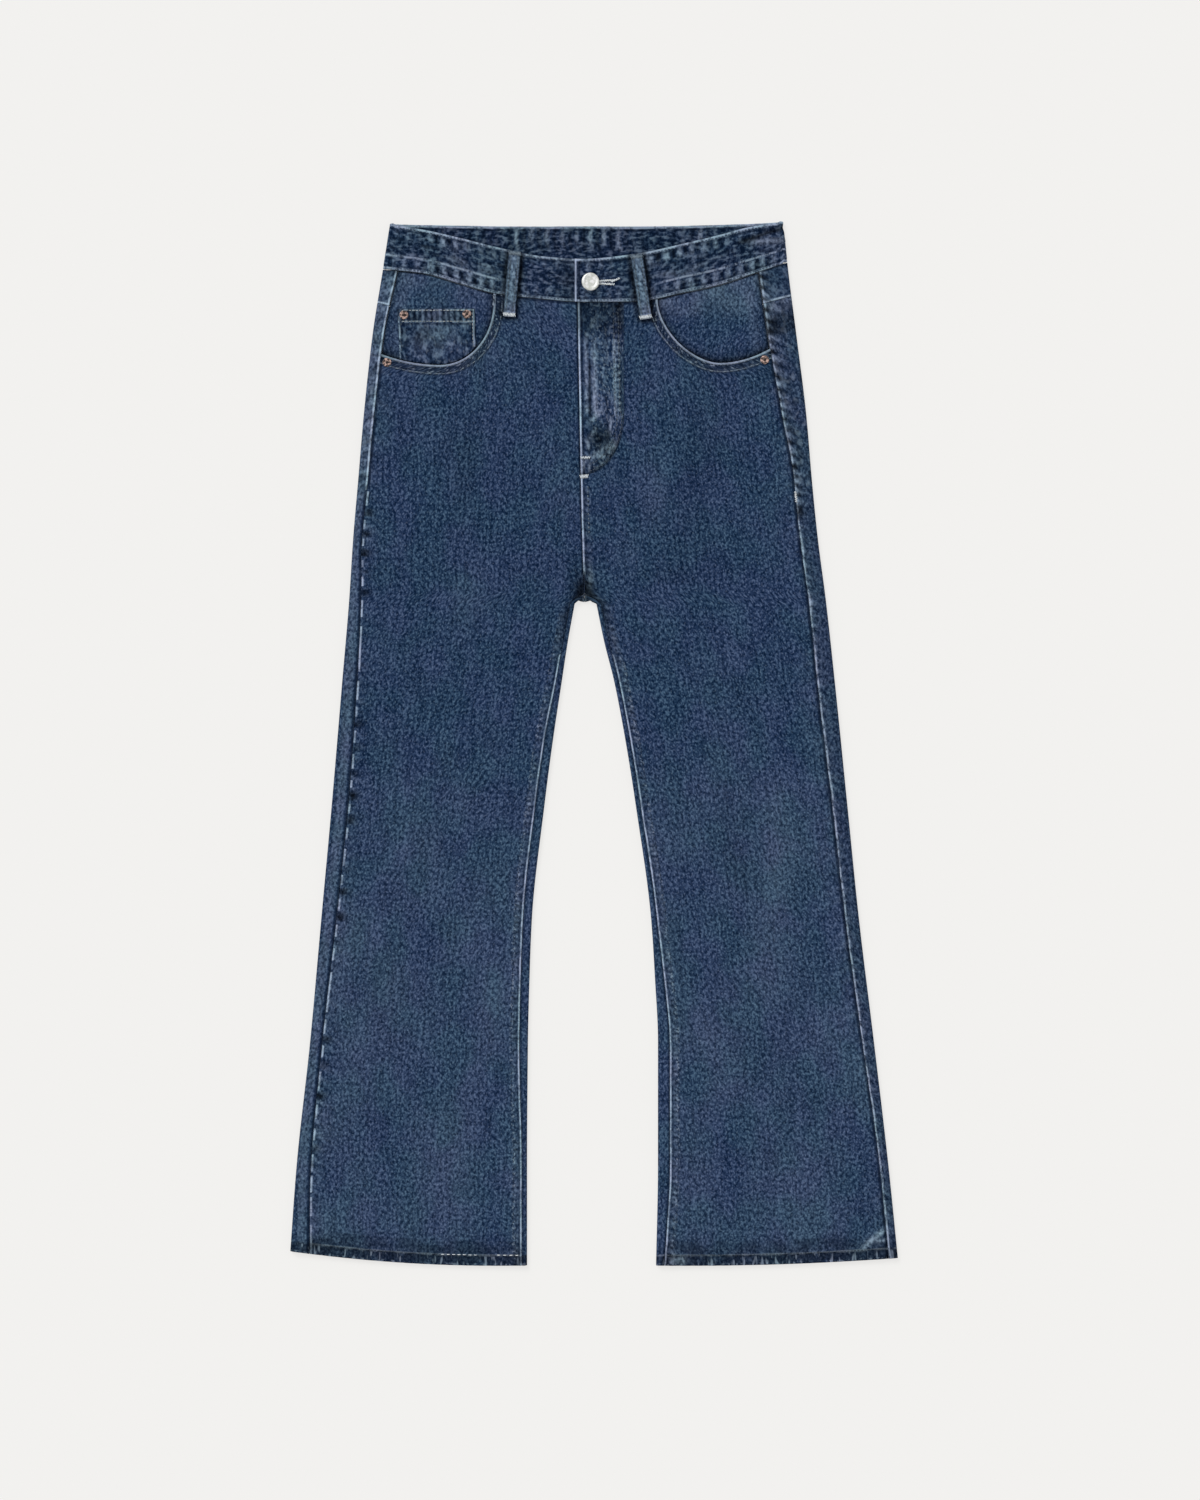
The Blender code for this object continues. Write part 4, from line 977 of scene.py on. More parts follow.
def flySurface(x, y):
    # the lapped front: two soft ridges over the zip beside the edge, and two curved rows that hold it
    f = flyCut
    edgeAway = x - centreX("left", y) - seamGap / 2
    inward = np.clip((x - f["x"]) / f["width"], 0, 1)
    bottomAway = y - (f["y"] - f["drop"] * np.sqrt(np.clip(1 - inward ** 2, 0, 1)))
    inCurve = np.hypot((x - f["x"]) / f["width"], np.minimum(y - f["y"], 0) / f["drop"])
    curveAway = np.where(y > f["y"], f["width"] - edgeAway, f["width"] * (1 - inCurve))
    waistAway = seamY(x) - waistGap - y
    upper = ease((y - 288) / 14) * ease((waistAway - 6) / 30)
    blocks = wave(y, 13.0, 91)
    slubs = wave(y, 6.0, 92)
    longRun = upper * (0.75 + 0.4 * softNoise(0, y, 22, 93))
    ridges = ridge(edgeAway, flyRows["ridges"][0], 2.2) * (0.45 + 0.25 * blocks)
    ridges = (ridges + 0.5 * ridge(edgeAway, flyRows["ridges"][1], 1.8)) * longRun
    rowBand = stripe(curveAway, 0.8, 7.2)
    rise = 0.1 * softNoise(x, y, 12, 94) + ridges - 0.35 * ridge(edgeAway, flyRows["groove"], 1.2) * longRun
    rise += rowBand * 0.14 * slubs - 0.16 * (ridge(curveAway, 1.8, 0.6) + ridge(curveAway, 6.4, 0.6))
    rise = rise - 0.45 * rolled(edgeAway)
    rise = rise - 0.9 * rolled(curveAway, 1.6)  # sewn down, so it sinks into the front
    rubbed = ease((y - 312) / 12) * ease((402 - y) / 16)
    wearAndHighlight = 0.75 * ridge(edgeAway, flyRows["ridges"][0], 1.7) * rubbed * np.clip(0.6 + blocks, 0, 1)
    wearAndHighlight += 0.5 * ridge(edgeAway, flyRows["ridges"][1], 2.0) * rubbed * (1 + 0.6 * softNoise(0, y, 7, 96))
    wearAndHighlight += 0.3 * ridge(edgeAway, 22, 5) * rubbed * positive(wave(y, 7.4, 98, slant=0.5 * edgeAway))
    wearAndHighlight += 1.5 * rowBand * rubbed * positive(slubs) * (0.3 + ridge(curveAway, 1.8, 1.3))
    wearAndHighlight += 0.7 * rowBand * rubbed * ridge(curveAway, 6.4, 1.3)
    fan = ridge(bottomAway, 7, 8) * ease((300 - y) / 10)
    wearAndHighlight += 1.5 * fan * positive(softNoise(x * 1.6, y, 4.0, 95) - 0.1)
    wearAndHighlight += 0.7 * positive(foldHeights(flyCreases, x, y))
    shade = 0.9 * ridge(edgeAway, flyRows["groove"], 1.3) * rubbed * ease((378 - y) / 10)
    shade += 0.5 * ease((y - 388) / 22) + 0.25 * np.exp(-waistAway / 9)
    shade += 0.35 * ridge(edgeAway, 27, 2.0) * longRun + 0.35 * rowBand * positive(-slubs)
    shade += 0.85 * ridge(y, 297, 13) * ridge(edgeAway, 19, 13) + 0.3 * fan + 0.25 * ridge(curveAway, 0, 3)
    looks = {"wearAndHighlight": np.clip(wearAndHighlight, 0, 1), "shade": np.clip(shade, 0, 1), "edgeAway": edgeAway,
             "curveAway": curveAway}
    return pillow(x, y, 1) + clothThick + seamGap + rise, looks


def makeFly():
    turn = np.linspace(0, np.pi / 2, 40)
    lowX = flyCut["x"] + flyCut["width"] * np.sin(turn)
    lowY = flyCut["y"] - flyCut["drop"] * np.cos(turn)
    y = mix(seamY(lowX) - waistGap, lowY, np.linspace(0, 1, 96)[:, None])
    edge = centreX("left", y) + seamGap / 2
    x = mix(edge, flyCut["x"] + flyCut["width"], (lowX - flyCut["x"]) / flyCut["width"])
    z, looks = flySurface(x, y)
    lines = [
        line("edgeAway", 0.8, 1.35, 1.0, broken=0.4),
        line("edgeAway", 3.3, 1.5, 0.7, "shadow", wobble=0.6),
        line("curveAway", 0.3, 0.9, 0.3, "shadow", broken=0.4, wobble=0.3),
    ]
    flecks = [
        fleck("edgeAway", 12.0, 44.0, (2.6, 3.4), 0.57, 0.22),
        fleck("edgeAway", 4.0, 44.0, (2.8, 5.0), 0.57, 0.4, "shadow"),
    ]
    material = washedDenim("washedDenimFly", lines, flecks, blotch=(5.0, 8.0, 0.9, 0.1))
    makeCloth("fly", (x, y, z), looks, material, shift=1150.0)


# backs and yokes, which wrap round the outline on to the top

back = {
    "stripShares": np.array([0, 0.03, 0.07, 0.13, 0.2, 0.28, 0.37, 0.47, 0.58, 0.7, 0.82, 0.92, 1.0]),
    "foldTurns": np.radians(np.linspace(90, -90, 13)), "middle": 42, "rowPitch": 2.6,
    "seatTail": 16.0, "topLevel": 366.0, "seatLevel": 155.0, "lastLevel": -470.0,
    "crotchFrom": 172.0, "crotchTo": 118.0,
}
# a row's last stretch: 0 to 4 goes round the leg's inner fold, 4 to 5 from there to the inseam
tailAt = np.concatenate([np.linspace(0, 4, 9), np.linspace(4, 5, 9)[1:]])

headColumns = len(back["stripShares"]) + len(back["foldTurns"]) - 1
backColumns = headColumns + back["middle"] + len(tailAt)

# the two rows that turn up under the crotch: level, then six points' distances out from the seat seam, their
# heights over the crotch, and their sheets
crotchRows = (
    (146.0, (16, 13, 10, 7, 3.5, 0.4), (6.0, 4.8, 3.4, 2.0, 0.7, 0.0), (-1, -1, -1, -1, -1, 0)),
    (140.0, (16, 12, 8.5, 6, 3.2, 0.4), (1.6, 0.6, 0.0, 1.2, 3.2, 7.0), (-1, -1, 0, 1, 1, 1)),
)


# the places of the crotch's rows among the control rows, closest together where the cloth turns up
crotchRowsAt = np.array([
    1.3, 1.55, 1.72, 1.83, 1.9, 1.95, 2, 2.06, 2.13, 2.22, 2.34, 2.5, 2.68, 2.84, 3, 3.2, 3.5, 3.75, 4])


def backTail(side, level, leg, at):
    # the last stretch of a row: flat to the seat seam, or round the leg's inner fold to the inseam
    way = wayOf[side]
    level = np.asarray(level, float)[:, None]
    if not leg:
        x = seatX + way * (seamGap / 2 + back["seatTail"] * (1 - at / 5))
        x = np.broadcast_to(x, (len(level), len(at)))
        return x, np.full(x.shape, -1.0)
    turn = np.radians(-90 + 45 * np.minimum(at, 4))
    edge = innerX(side, level)
    x = edge + way * fold["radius"] * (1 - np.cos(turn))
    strip = inseamX(side, level) - way * seamGap / 2
    x = mix(x, strip, np.clip(at - 4, 0, 1))
    return x, np.broadcast_to(sheetAt(turn), x.shape)


def backRows(side, y, leg=False):
    # rows of x and sheet for levels y, which may differ from column to column
    way = wayOf[side]
    yHead = y[:, :headColumns]
    seam = sideSeamX(side, yHead) + way * seamGap / 2
    edge = outerX(side, yHead)
    strips = len(back["stripShares"])
    strip = mix(seam[:, :strips], (edge - way * fold["radius"])[:, :strips], back["stripShares"])
    turned = edge[:, strips:] - way * fold["radius"] * (1 - np.cos(back["foldTurns"][1:]))
    tailX, tailSheet = backTail(side, y[:, -1], leg, tailAt)
    shares = inBetween(back["middle"])
    bottom = mix(turned[:, -1:], tailX[:, :1], shares)
    sheets = np.concatenate([
        np.ones(strip.shape), np.broadcast_to(sheetAt(back["foldTurns"][1:]), turned.shape),
        -np.ones(bottom.shape), tailSheet], 1)
    return np.concatenate([strip, turned, bottom, tailX], 1), sheets


# rubbed creases beside the wearer's left outseam, where its close stitching ends
outseamCreases = columns("x1 y1 x2 y2 wide deep", [
    (193.5, 254, 196.5, 243, 1.5, 0.9),
    (196, 248, 198.5, 241, 1.6, 0.9),
    (195.5, 243, 197, 233, 1.3, 0.8),
    (202, 196, 203, 184, 1.4, 0.6),
    (203, 182, 205.5, 150, 1.5, 0.6),
    (208, 148, 210, 120, 1.5, 0.5),
])

# soft folds on the underside, pressed up from the surface
backFolds = columns("x1 y1 x2 y2 wide deep", [
    (-120, 190, -160, 20, 15, 0.7),
    (-200, 60, -215, -120, 12, 0.5),
    (-150, -150, -168, -330, 16, 0.6),
    (-30, 200, -95, 165, 9, 0.6),
    (10, 205, 80, 160, 10, 0.7),
    (110, 150, 135, -40, 16, 0.6),
    (190, 20, 205, -160, 12, 0.5),
    (140, -200, 160, -390, 15, 0.6),
    (60, 455, 150, 440, 8, 0.4),
    (-80, 450, -165, 440, 8, 0.4),
])


def backSurface(side, x, y, sheet):
    # the top strips carry the outseam's puckers; the underside has shallow folds only
    seed = 110 if side == "right" else 140
    way = wayOf[side]
    top = sheet > 0
    fromSide = np.abs(x - sideSeamX(side, y)) - seamGap / 2
    away = {
        "sideAway": only(top, fromSide),
        "lowSideAway": only(top & (y < dashTop), fromSide),
        "highSideAway": only(top & (y >= dashTop), fromSide),
        "inseamAway": only(top & (y < crossingY), np.abs(x - centreX(side, y)) - seamGap / 2),
        "hemAway": y - hemY(x),
        "seatAway": only(sheet < 0, np.abs(x - seatX)),
    }
    outerSide = way * x > way * np.where(y < crotchY, (outerX(side, y) + innerX(side, y)) / 2, 0)
    wrap = top & outerSide
    depth = only(wrap, edgeDistance(x, y))
    rope = wave(y, 11.0, seed, slant=0.45 * away["sideAway"])
    deepRope = wave(y, 23.0, seed + 1, slant=-0.4 * away["sideAway"])
    near = np.exp(-positive(away["sideAway"] - 4) / 9.0) * wrap
    hemBand = stripe(away["hemAway"], -2, hem["depth"])
    hemRope = wave(x, 14.0, seed + 2, slant=-0.9 * away["hemAway"])
    bottom = sheet < 0
    rise = near * (0.32 * rope + 0.25 * deepRope) + top * hemBand * 0.35 * hemRope
    rise = rise - 0.3 * top * rolled(away["sideAway"], 0.8)
    under = positive(foldHeights(backFolds, x, y)) + 0.1 * (1 + softNoise(x, y, 24, seed + 3))
    rise = np.where(bottom, under * ease((edgeDistance(x, y) - 6) / 8), rise)
    rise = rise * ease((edgeDistance(x, y) - 0.5) / 2.5)
    outerRope = np.exp(-away["sideAway"] / 16.0) * (sheet > -1) * outerSide
    # the wearer's right leg is smooth lower down, and the left one is rubbed most above its tack
    rubbed = 0.5 + 1.3 * ease((y - 225) / 20) if side == "left" else ease((y - 200) / 60)
    beside = np.exp(-positive(away["sideAway"] - 3) / 7.0) * rubbed
    wearAndHighlight = outerRope * beside * (0.4 * positive(rope) + 0.2 * positive(deepRope)) + 0.02
    underYoke = yokeY(side, x) - y
    if side == "left":
        wearAndHighlight += 1.2 * positive(foldHeights(outseamCreases, x, y)) * top
        wearAndHighlight += 0.35 * wrap * stripe(underYoke, 1, 12, 4) * (0.7 + 0.6 * softNoise(x, y, 4.0, seed + 5))
    else:
        wearAndHighlight += 0.1 * wrap * stripe(away["sideAway"], 3.5, 12, 2)
    shade = outerRope * beside * (0.65 * positive(-rope) + 0.3 * positive(-deepRope))
    shade += top * hemBand * (0.38 + 0.2 * positive(-hemRope)) + 0.1 * np.where(depth < 4, 1, 0)
    if side == "left":
        shade += 0.18 * wrap + 0.45 * wrap * stripe(underYoke, 13, 34, 8)
        shade += 0.8 * top * ridge(np.hypot((x - 200) / 5, (y - 226) / 6), 0, 1)
    saddle = ridge(np.hypot((x - seatX) * 0.8, (y - 143) * 0.8), 0, 12)
    looks = {"wearAndHighlight": wearAndHighlight, "shade": np.clip(shade + 0.75 * saddle, 0, 1), **away}
    return rise, looks


def rowsBetween(side, start, topLine, lowLine, shares):
    # rows between two lines, each a function of x and sheet: a few rounds, for x depends on y
    y = np.full((len(shares), backColumns), start)
    for _ in range(6):
        x, sheets = backRows(side, y)
        y = mix(topLine(x, sheets), lowLine(x, sheets), shares[:, None])
    x, sheets = backRows(side, y)
    return x, y, sheets


def levelRows(side, top, low, leg=False):
    # level rows from one height to another, without the first
    count = int((top - low) / back["rowPitch"])
    y = np.linspace(top, low, count)[1:, None] * np.ones(backColumns)
    x, sheets = backRows(side, y, leg)
    return x, y, sheets


def backGrid(side):
    way = wayOf[side]
    upper = rowsBetween(side, 400.0, lambda x, sheets: yokeY(side, x) - seamGap,
                        lambda x, sheets: np.full(x.shape, back["topLevel"]), np.linspace(0, 1, 27))
    seat = levelRows(side, back["topLevel"], back["seatLevel"])

    # the crotch: control rows at falling levels, each with six tail points, made smooth both ways
    control = []
    sixAt = np.arange(6.0)
    for level in (back["crotchFrom"], back["seatLevel"]):
        x, sheet = backTail(side, [level], False, sixAt)
        control.append((level, x[0], np.full(6, level), sheet[0]))
    for level, out, up, sheets in crotchRows:
        outX, upY = seatX + way * np.array(out), crotchY + np.array(up)
        control.append((level, outX, upY, np.array(sheets, float)))
    for level in (legTopY, back["crotchTo"]):
        x, sheet = backTail(side, [level], True, sixAt)
        control.append((level, x[0], np.full(6, level), sheet[0]))
    tails = np.array([np.stack([x, y, pillow(x, y, sheet)], -1) for _, x, y, sheet in control])
    fine = curve(sixAt, tails, crotchRowsAt)
    fine = curve(sixAt, fine.transpose(1, 0, 2), tailAt).transpose(1, 0, 2)
    crotchLevels = curve(sixAt, np.array([row[0] for row in control])[:, None], crotchRowsAt)[:, 0]
    levels = crotchLevels[:, None] * np.ones(backColumns)
    x, sheets = backRows(side, levels)
    y = levels.copy()
    tail = len(tailAt)
    middle = slice(headColumns, backColumns - tail)
    shares = inBetween(back["middle"])
    x[:, middle] = mix(x[:, headColumns - 1:headColumns], fine[:, :1, 0], shares)
    y[:, middle] = mix(crotchLevels[:, None], fine[:, :1, 1], shares)
    x[:, -tail:], y[:, -tail:] = fine[..., 0], fine[..., 1]
    crotchTail = (sum(len(part[0]) for part in (upper, seat)), fine[..., 2])
    crotch = (x, y, sheets)

    leg = levelRows(side, legTopY, back["lastLevel"], leg=True)
    share, above = overToHem(10)
    y = np.full((len(share), backColumns), back["lastLevel"])
    for _ in range(4):
        x, sheets = backRows(side, y, leg=True)
        y = mix(back["lastLevel"], hemY(x) + above, share)
    parts = (upper, seat, crotch, leg, (x, y, sheets))
    return (*(np.concatenate([part[i] for part in parts]) for i in range(3)), crotchTail)


def backMaterial(side):
    if side == "left":
        lines = [line("sideAway", 1.0, 1.25, 0.85, broken=0.85, wobble=2.2)]
    else:
        lines = [line("lowSideAway", 1.1, 1.9, 0.85, "shadow", broken=0.2),
                 line("highSideAway", 1.0, 1.4, 0.9, broken=0.6, wobble=1.4)]
    flecks = [
        fleck("highSideAway", 2.5, 30.0, (9.0, 12.0), 0.55, 0.5, "shadow"),
        fleck("highSideAway", 2.5, 30.0, (7.0, 10.0), 0.6, 0.15),
    ]
    lines += [
        line("inseamAway", 0.8, 1.5, 0.6, "shadow"),
        line("seatAway", 1.0, 1.2, 0.5, broken=0.5, wobble=0.6),
    ]
    return washedDenim("washedDenimBack_" + side, lines, flecks + hemTicks)


def makeBack(side):
    x, y, sheets, (firstRow, tailZ) = backGrid(side)
    z = pillow(x, y, sheets)
    rows = slice(firstRow, firstRow + len(tailZ))
    z[rows, -len(tailAt):] = tailZ
    rise, looks = backSurface(side, x, y, sheets)
    rise[rows, -len(tailAt):] = 0
    makeCloth("back_" + side, (x, y, z + rise), looks, backMaterial(side),
              flip=side == "right", shift=1400.0 if side == "right" else 1800.0)


def yokeTop(x, sheets):
    return np.where(sheets > 0, waistY(x, 1, "seam"), waistY(x, -1, "seam")) - waistGap


def makeYoke(side):
    x, y, sheets = rowsBetween(side, 440.0, yokeTop, lambda x, sheets: yokeY(side, x), np.linspace(0, 1, 34))
    rise, looks = backSurface(side, x, y, sheets)
    looks["yokeAway"] = y - yokeY(side, x)
    looks["waistAway"] = yokeTop(x, sheets) - y
    lines = [
        line("yokeAway", 1.0, 1.5, 0.8, broken=0.6, wobble=1.4),
        line("sideAway", 1.0, 1.4, 0.8, broken=0.6, wobble=1.4),
        line("waistAway", 0.6, 1.6, 0.75, "shadow", broken=0.2),
    ]
    material = washedDenim("washedDenimYoke_" + side, lines, blotch=(7.0, 9.0, 0.9, 0.15))
    makeCloth("yoke_" + side, (x, y, pillow(x, y, sheets) + rise), looks, material,
              flip=side == "right", shift=2300.0)


def makeBackPocket(side):
    p = backPocket
    centre = seatX + wayOf[side] * p["centre"]
    share = spread(-1.0, 1.0, np.array([0, 0.006, 0.02, 0.045, 0.08, 0.12]), 40)[0]
    down = spread(0.0, 1.0, np.array([0, 0.003, 0.01, 0.03, 0.05, 0.08, 0.11]), 46)[0][:, None]
    y = p["top"] - down * (p["height"] + p["point"] * (1 - np.abs(share)))
    half = pocketHalf(y)
    x = centre + share * half
    topAway = p["top"] - y
    sideAway = half - np.abs(x - centre)
    lowAway = y - (p["top"] - p["height"] - p["point"] * (1 - np.abs(share)))
    rim = np.minimum(np.minimum(topAway, sideAway), lowAway)
    rows = ridge(sideAway, 2.2, 0.6) + ridge(topAway, 14, 0.8)
    rise = 0.25 * rolled(rim, 1.0) + 0.12 * rows
    looks = {"wearAndHighlight": 0.12 * positive(softNoise(x, y, 20, 160)), "shade": 0.0, "rimAway": rim,
             "topAway": topAway}
    lines = [line("rimAway", 0.6, 1.0, 0.7, broken=0.4, wobble=0.5),
             line("topAway", 14.0, 0.8, 0.35, broken=0.6, wobble=0.5)]
    material = washedDenim("washedDenimBackPocket_" + side, lines)
    makeCloth("back_pocket_" + side, (x, y, rise), looks, material,
              flip=True, shift=2600.0)


# waistband

band = {"thick": 2.4, "frontStations": 120, "backStations": 200, "foldStations": 13, "rows": 26,
        "tall": 43.0, "puckers": 11.6, "puckerHigh": 11.0}


def lapShift(x, end):
    if end == "over":
        return lap["rise"] * ease((lap["reach"] - x) / lap["ramp"])
    return -lap["sink"] * ease((x + lap["reach"]) / lap["ramp"])


def bandPath():
    # stations along the band: left front from the lap, left fold, back, right fold, and the right front to
    # the end under the lap
    names = ["over"] * band["frontStations"] + ["foldLeft"] * band["foldStations"]
    names += ["back"] * band["backStations"] + ["foldRight"] * band["foldStations"]
    names += ["under"] * band["frontStations"]
    shares = np.concatenate([
        np.linspace(0, 1, band["frontStations"] + 1)[:-1], np.linspace(0, 1, band["foldStations"]),
        inBetween(band["backStations"]), np.linspace(0, 1, band["foldStations"]),
        np.linspace(0, 1, band["frontStations"] + 1)[1:]])
    return np.array(names), shares


def bandPoints(high, offset, depth):
    # points at shares of the band's height (stations x section), moved by offset up and depth inwards
    names, shares = bandPath()
    isOver, isUnder, isBack = names == "over", names == "under", names == "back"
    x = np.zeros((len(names), len(high)))
    y = np.zeros(x.shape)
    normal = np.zeros((len(names), 1, 3))
    sheet = np.where(isBack, -1.0, 1.0)[:, None] * np.ones(x.shape)
    radius = fold["bandRadius"]
    foldY = {}
    for side in ("left", "right"):
        ends = [waistY(outerX(side, bandFoldY), 1, name) for name in ("seam", "top")]
        foldY[side] = mix(*ends, high) + offset
        chosen = names == "fold" + side.capitalize()
        turn = np.pi * (shares[chosen] - 0.5) * (-1 if side == "left" else 1)
        edge = outerX(side, foldY[side])
        x[chosen] = edge - wayOf[side] * radius * (1 - np.cos(turn[:, None]))
        y[chosen] = foldY[side]
        sheet[chosen] = sheetAt(turn)[:, None]
        normal[chosen, 0, 0] = wayOf[side] * np.cos(turn)
        normal[chosen, 0, 2] = np.sin(turn)
    leftX = outerX("left", foldY["left"]) - radius
    rightX = outerX("right", foldY["right"]) + radius
    x[isOver] = mix(lap["endX"], leftX, shares[isOver][:, None])
    x[isUnder] = mix(rightX, lap["underEndX"], shares[isUnder][:, None])
    x[isBack] = mix(leftX, rightX, shares[isBack][:, None])
    for chosen, face in ((isOver | isUnder, 1), (isBack, -1)):
        y[chosen] = mix(waistY(x[chosen], face, "seam"), waistY(x[chosen], face, "top"), high) + offset
        normal[chosen, 0, 2] = face
    z = pillow(x, y, sheet, radius=radius, loft=fold["bandLoft"])
    z[isOver] += lapShift(x[isOver], "over")
    z[isUnder] += lapShift(x[isUnder], "under")
    points = np.stack([x, y, z], -1) - normal * depth[:, None]
    return points, normal, names


def bandSection():
    # once round the strip: outer face up, over the top, inner face down, and under
    half = band["thick"] / 2
    share = np.linspace(0, 1, band["rows"])
    turn = np.linspace(0, np.pi, 9)[1:-1]
    flat, bent = np.ones(len(share)), np.ones(len(turn))
    high = np.concatenate([share, bent, share[::-1], 0 * bent])
    offset = np.concatenate([
        mix(half, -half, share), -half + half * np.sin(turn),
        mix(-half, half, share), half - half * np.sin(turn)])
    depth = np.concatenate([
        0 * flat, half - half * np.cos(turn), band["thick"] * flat, half + half * np.cos(turn)])
    face = np.concatenate([flat, 0 * bent, -flat, 0 * bent])
    return high, offset, depth, face


def bandLooks(x, y, names, high, face):
    # two rows of puckers, under the top edge and over the seam, with a soft crease line between
    up, down = high * band["tall"], (1 - high) * band["tall"]
    isBack = (names == "back")[:, None]
    outerFace = face > 0
    s = np.where(isBack, x + 700, x)
    strongLow = 0.4 + 1.0 * np.maximum(stripe(x, -165, -96, 20), stripe(x, 78, 175, 20))
    strongTop = 0.6 + 0.9 * np.maximum(stripe(x, -168, -88, 15), stripe(x, 52, 130, 15))
    low = stripe(up, 2.0, band["puckerHigh"], 2.5)
    top = stripe(down, 2.2, 10.5, 2.5)
    lowRope = np.tanh(1.8 * wave(s, band["puckers"], 201, slant=0.12 * up))
    topRope = wave(s, 12.5, 205, slant=-0.2 * down)
    insideRope = wave(s, 14.5, 211, slant=2.2 * np.sin(down / 7))
    insideTop = stripe(down, 1.0, 26.0, 6) * isBack
    cloud = softNoise(s * 0.2, up, 3.0, 220) + 0.4 * softNoise(s, y, 9, 221)
    mid = stripe(up, 14, 31, 6)
    outerRise = strongLow * low * 0.38 * lowRope + strongTop * top * 0.34 * topRope + 0.14 * cloud * mid
    rows = ridge(up, 1.9, 0.6) + ridge(down, 2.2, 0.6)
    outerRise = outerRise - 0.25 * rows + 0.2 * ridge(up, 13.0, 1.4)
    crease = ridge(y - (494 + 0.34 * (x - 158)), 0, 2.6) * stripe(x, 140, 200, 12)
    creaseHigh = ridge(y - (489 + 0.06 * (x - 158)), 0, 2.6) * stripe(x, 150, 200, 12)
    outerRise = outerRise - 0.9 * crease + 0.5 * creaseHigh
    innerRise = -0.35 * insideRope * insideTop
    rise = np.where(outerFace, outerRise, np.where(face < 0, innerRise, 0))
    rise = rise * np.where(isBack & outerFace, 0.0, 1.0)
    # the crease's raised side is painted lighter, a painted highlight, and the crease itself gets painted
    # shade
    wearAndHighlightOuter = strongLow * low * 0.44 * positive(lowRope) + strongTop * top * 0.42 * positive(topRope)
    wearAndHighlightOuter += 0.34 * mid * (strongTop - 0.4) * positive(cloud)
    wearAndHighlightOuter += 0.4 * ridge(up, 13.2, 1.2) * (x < -80) + 0.5 * creaseHigh
    patches = positive(0.5 + 0.9 * softNoise(s, y, 13, 230))
    wearInner = 1.5 * insideTop * positive(insideRope - 0.5) * patches
    shadeOuter = strongLow * low * 0.5 * positive(-lowRope) + strongTop * top * 0.45 * positive(-topRope)
    shadeOuter += 0.12 + 0.2 * mid + 0.8 * crease + besideLoops(x, y) * (~isBack)
    shadeOuter += 0.3 * ridge(x, -25, 9) * (names == "under")[:, None]
    shadeInner = 0.3 + 0.35 * insideTop * positive(-insideRope)
    wearAndHighlight = np.where(face < 0, wearInner, wearAndHighlightOuter)
    shade = np.where(face < 0, shadeInner, shadeOuter)
    looks = {
        "wearAndHighlight": np.clip(wearAndHighlight, 0, 1), "shade": np.clip(shade, 0, 1),
        "seamAway": only(face >= 0, up), "topAway": down,
        "rowAway": only((face > 0) & ((x < -92) | (x > 66)), up),
    }
    return rise, looks


